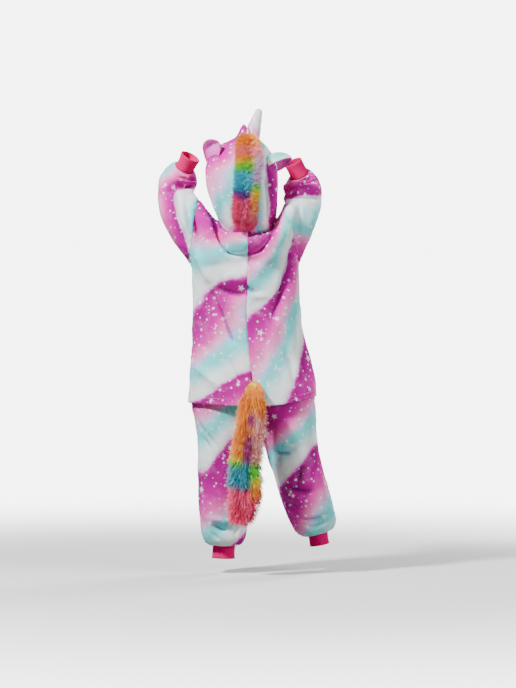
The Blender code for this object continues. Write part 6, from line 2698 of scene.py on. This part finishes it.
@dataclass
class Studio:
    """A plain pale floor, soft light and the camera."""

    floor_z: float = -1.0
    floor_size: float = 9.0
    distance: float = 8.0
    aim: tuple[float, float] = (-0.029, -0.3364)
    view_height: float = 1.995
    film: float = 24.0
    air: float = 0.1
    backdrop: float = 6.4
    fade: tuple[float, float] = (1.3, 4.1)
    bounce: float = 0.25
    paleness: float = 0.95

    def floor(self) -> None:
        """Lays the floor."""
        graph = Graph("studio_floor")
        seen = graph.add("ShaderNodeLightPath").outputs["Is Camera Ray"]
        away = graph.add("ShaderNodeVectorMath", {0: graph.place()}, operation="LENGTH").outputs["Value"]
        far = graph.between(away, *self.fade)
        near = graph.times(graph.minus(1.0, far), self.paleness)
        finish = graph.surface(
            Base_Color=graph.mix(seen, (self.bounce,) * 3, near), Roughness=0.9, Specular_IOR_Level=0.1,
            Emission_Color=(1, 1, 1), Emission_Strength=graph.times(graph.times(far, seen), self.backdrop),
        )
        half = self.floor_size / 2
        mesh = bpy.data.meshes.new("studio_floor")
        corners = [(-half, -half), (half, -half), (half, half), (-half, half)]
        mesh.from_pydata([(x, y, self.floor_z) for x, y in corners], [], [(0, 1, 2, 3)])
        mesh.materials.append(finish)
        put_in("studio_floor", mesh)

    def lights(self) -> None:
        """Hangs the lights."""
        world = bpy.data.worlds.new("studio_air")
        world.use_nodes = True
        nodes, links = world.node_tree.nodes, world.node_tree.links
        nodes["Background"].inputs["Color"].default_value = (1, 1, 1, 1)
        nodes["Background"].inputs["Strength"].default_value = self.air
        seen = nodes.new("ShaderNodeBackground")
        seen.inputs["Color"].default_value = (1, 1, 1, 1)
        seen.inputs["Strength"].default_value = self.backdrop
        ray, both = nodes.new("ShaderNodeLightPath"), nodes.new("ShaderNodeMixShader")
        links.new(ray.outputs["Is Camera Ray"], both.inputs[0])
        links.new(nodes["Background"].outputs[0], both.inputs[1])
        links.new(seen.outputs[0], both.inputs[2])
        links.new(both.outputs[0], nodes["World Output"].inputs[0])
        bpy.context.scene.world = world
        for name, place, size, power in (
            ("key_light", (2.1, 2.1, 2.4), 0.5, 300.0), ("fill_light", (-2.9, 1.9, 0.5), 1.2, 62.0),
            ("front_light", (-2.0, -2.4, 1.2), 1.0, 100.0), ("top_light", (-0.6, 0.9, 2.4), 0.8, 16.0),
        ):
            light = bpy.data.lights.new(name, "AREA")
            light.size, light.energy = size, power
            lamp = put_in(name, light)
            lamp.location = place
            away = Vector(place) - Vector((0, 0, -0.3))
            lamp.rotation_euler = away.to_track_quat("Z", "Y").to_euler()

    def camera(self) -> None:
        """Sets the camera behind the garment."""
        lens = bpy.data.cameras.new("camera")
        lens.sensor_fit = "VERTICAL"
        lens.sensor_height = self.film
        lens.lens = self.film * self.distance / self.view_height
        made = put_in("camera", lens)
        made.location = (self.aim[0], self.distance, self.aim[1])
        made.rotation_euler = (math.pi / 2, 0, math.pi)
        bpy.context.scene.camera = made


# ---------------------------------------------------------------- the whole garment


@dataclass
class Onesie:
    """Everything that is sewn together."""

    cut: GarmentCut = field(default_factory=GarmentCut)
    drape: Drape = field(default_factory=Drape)
    levels: int = 2
    buttons: int = 6
    stitch_above_hem: float = 18.0
    stitch_inset: float = 3.0
    hem_samples: int = 160
    band_samples: int = 200
    hem_runs: tuple[tuple[float, float], ...] = ((-192.0, -62.0), (22.0, 158.0))
    panels: tuple[PrintedPanel, ...] = (
        PrintedPanel("back_left", flat_width=0.36, flat_length=0.56),
        PrintedPanel("back_right", flat_width=0.34, flat_length=0.56),
        PrintedPanel("front_left", flat_width=0.31, flat_length=0.98),
        PrintedPanel("front_right", flat_width=0.31, flat_length=0.98),
        PrintedPanel("seat_left", flat_width=0.28, flat_length=0.52),
        PrintedPanel("seat_right", flat_width=0.28, flat_length=0.52),
        PrintedPanel("sleeve_left", flat_width=0.34, flat_length=0.33, held="gathered"),
        PrintedPanel("sleeve_right", flat_width=0.34, flat_length=0.3, held="gathered"),
        PrintedPanel("hood_left", flat_width=0.31, flat_length=0.34),
        PrintedPanel("hood_right", flat_width=0.31, flat_length=0.34),
    )
    cuffs: tuple[RibCuff, ...] = (
        RibCuff("wrist_cuff_left", (186.5, -80, 179.5), (168, -66, 212), 27.2, 30),
        RibCuff("wrist_cuff_right", (-149, -79, 160), (-131, -65, 196), 27.4, 27),
        RibCuff("ankle_cuff_left", (70, -4, -920), (71, -4, -957), 33, 34),
        RibCuff("ankle_cuff_right", (-203, -21, -888), (-209, -23, -919), 29, 29),
    )
    ears: tuple[CuppedEar, ...] = (
        CuppedEar("left", (95, 32, 186), (110, 56, 254), (0.35, 0.9, -0.3), 30, 16, 75, 4),
        CuppedEar("right", (-62, 60, 170), (-128, 58, 199), (-0.2, 0.5, -0.84), 26, 40, 95, 1.6),
    )

    def stitches(self, worn: WornCloth, band: FrontBand) -> None:
        """Sews the rows of stitches that show.

        Args:
            worn: The garment's cloth.
            band: The band down the front.
        """
        thread = SewingThread("seam_thread", shade(255, 150, 210)).build()
        edge = worn.hem()
        rows = []
        for low, high in self.hem_runs:
            row = []
            for x in np.linspace(low, high, self.hem_samples):
                z = float(np.interp(x, edge[:, 0], edge[:, 2])) + self.stitch_above_hem
                place, normal = worn.on_back(x, z)
                if place:
                    row.append(list(place + normal * 0.1))
            rows.append(row)
        StitchLine().build("hem_stitches", rows, "print_fleece", thread)
        rows = []
        inset = self.stitch_inset
        for offset in (-band.half_width + inset, band.half_width - inset):
            row = []
            for z in np.linspace(band.top_z - inset, band.end_z + inset, self.band_samples):
                place, normal = worn.on_front(worn.front_middle(z) + offset, z)
                row.append(list(place + normal * (band.lie + band.wall + 0.15)))
            rows.append(row)
        StitchLine().build("placket_stitches", rows, "print_fleece", thread)

    def build(self) -> None:
        """Makes every piece."""
        worn = WornCloth(self.cut, self.drape, self.levels)
        LOG.info("cloth: %d points", len(worn.points))
        fleece = PrintFleece().build()
        for panel in self.panels:
            panel.build(worn, fleece)
        knit = RibKnit().build()
        for cuff in self.cuffs:
            cuff.build(knit)
        # the lining's colour, and the colour of its painted shade towards the ear's rim and foot
        lining = PlainFleece("lining_fleece", shade(255, 124, 224), shade(232, 84, 192)).build()
        for ear in self.ears:
            ear.build(worn, fleece, lining)
        PaddedHorn().build(worn, HornCloth().build())
        RainbowMane().build(worn, LongPile("mane_pile", MANE_BANDS).build())
        RainbowTail().build(worn, LongPile("tail_pile", TAIL_BANDS, dye=0.45).build())
        band = FrontBand()
        tree = band.build(worn, fleece)
        finishes = (ButtonGloss().build(), SewingThread("button_thread", PINK).build())
        for number in range(1, self.buttons + 1):
            SewnButton(number).build(band, self.buttons, worn, tree, finishes)
        self.stitches(worn, band)


def main() -> None:
    """Builds the garment and its studio."""
    logging.basicConfig(level=logging.INFO, stream=sys.stdout, format="%(message)s")
    Onesie().build()
    studio = Studio()
    studio.floor()
    studio.lights()
    studio.camera()


if __name__ == "__main__":
    main()
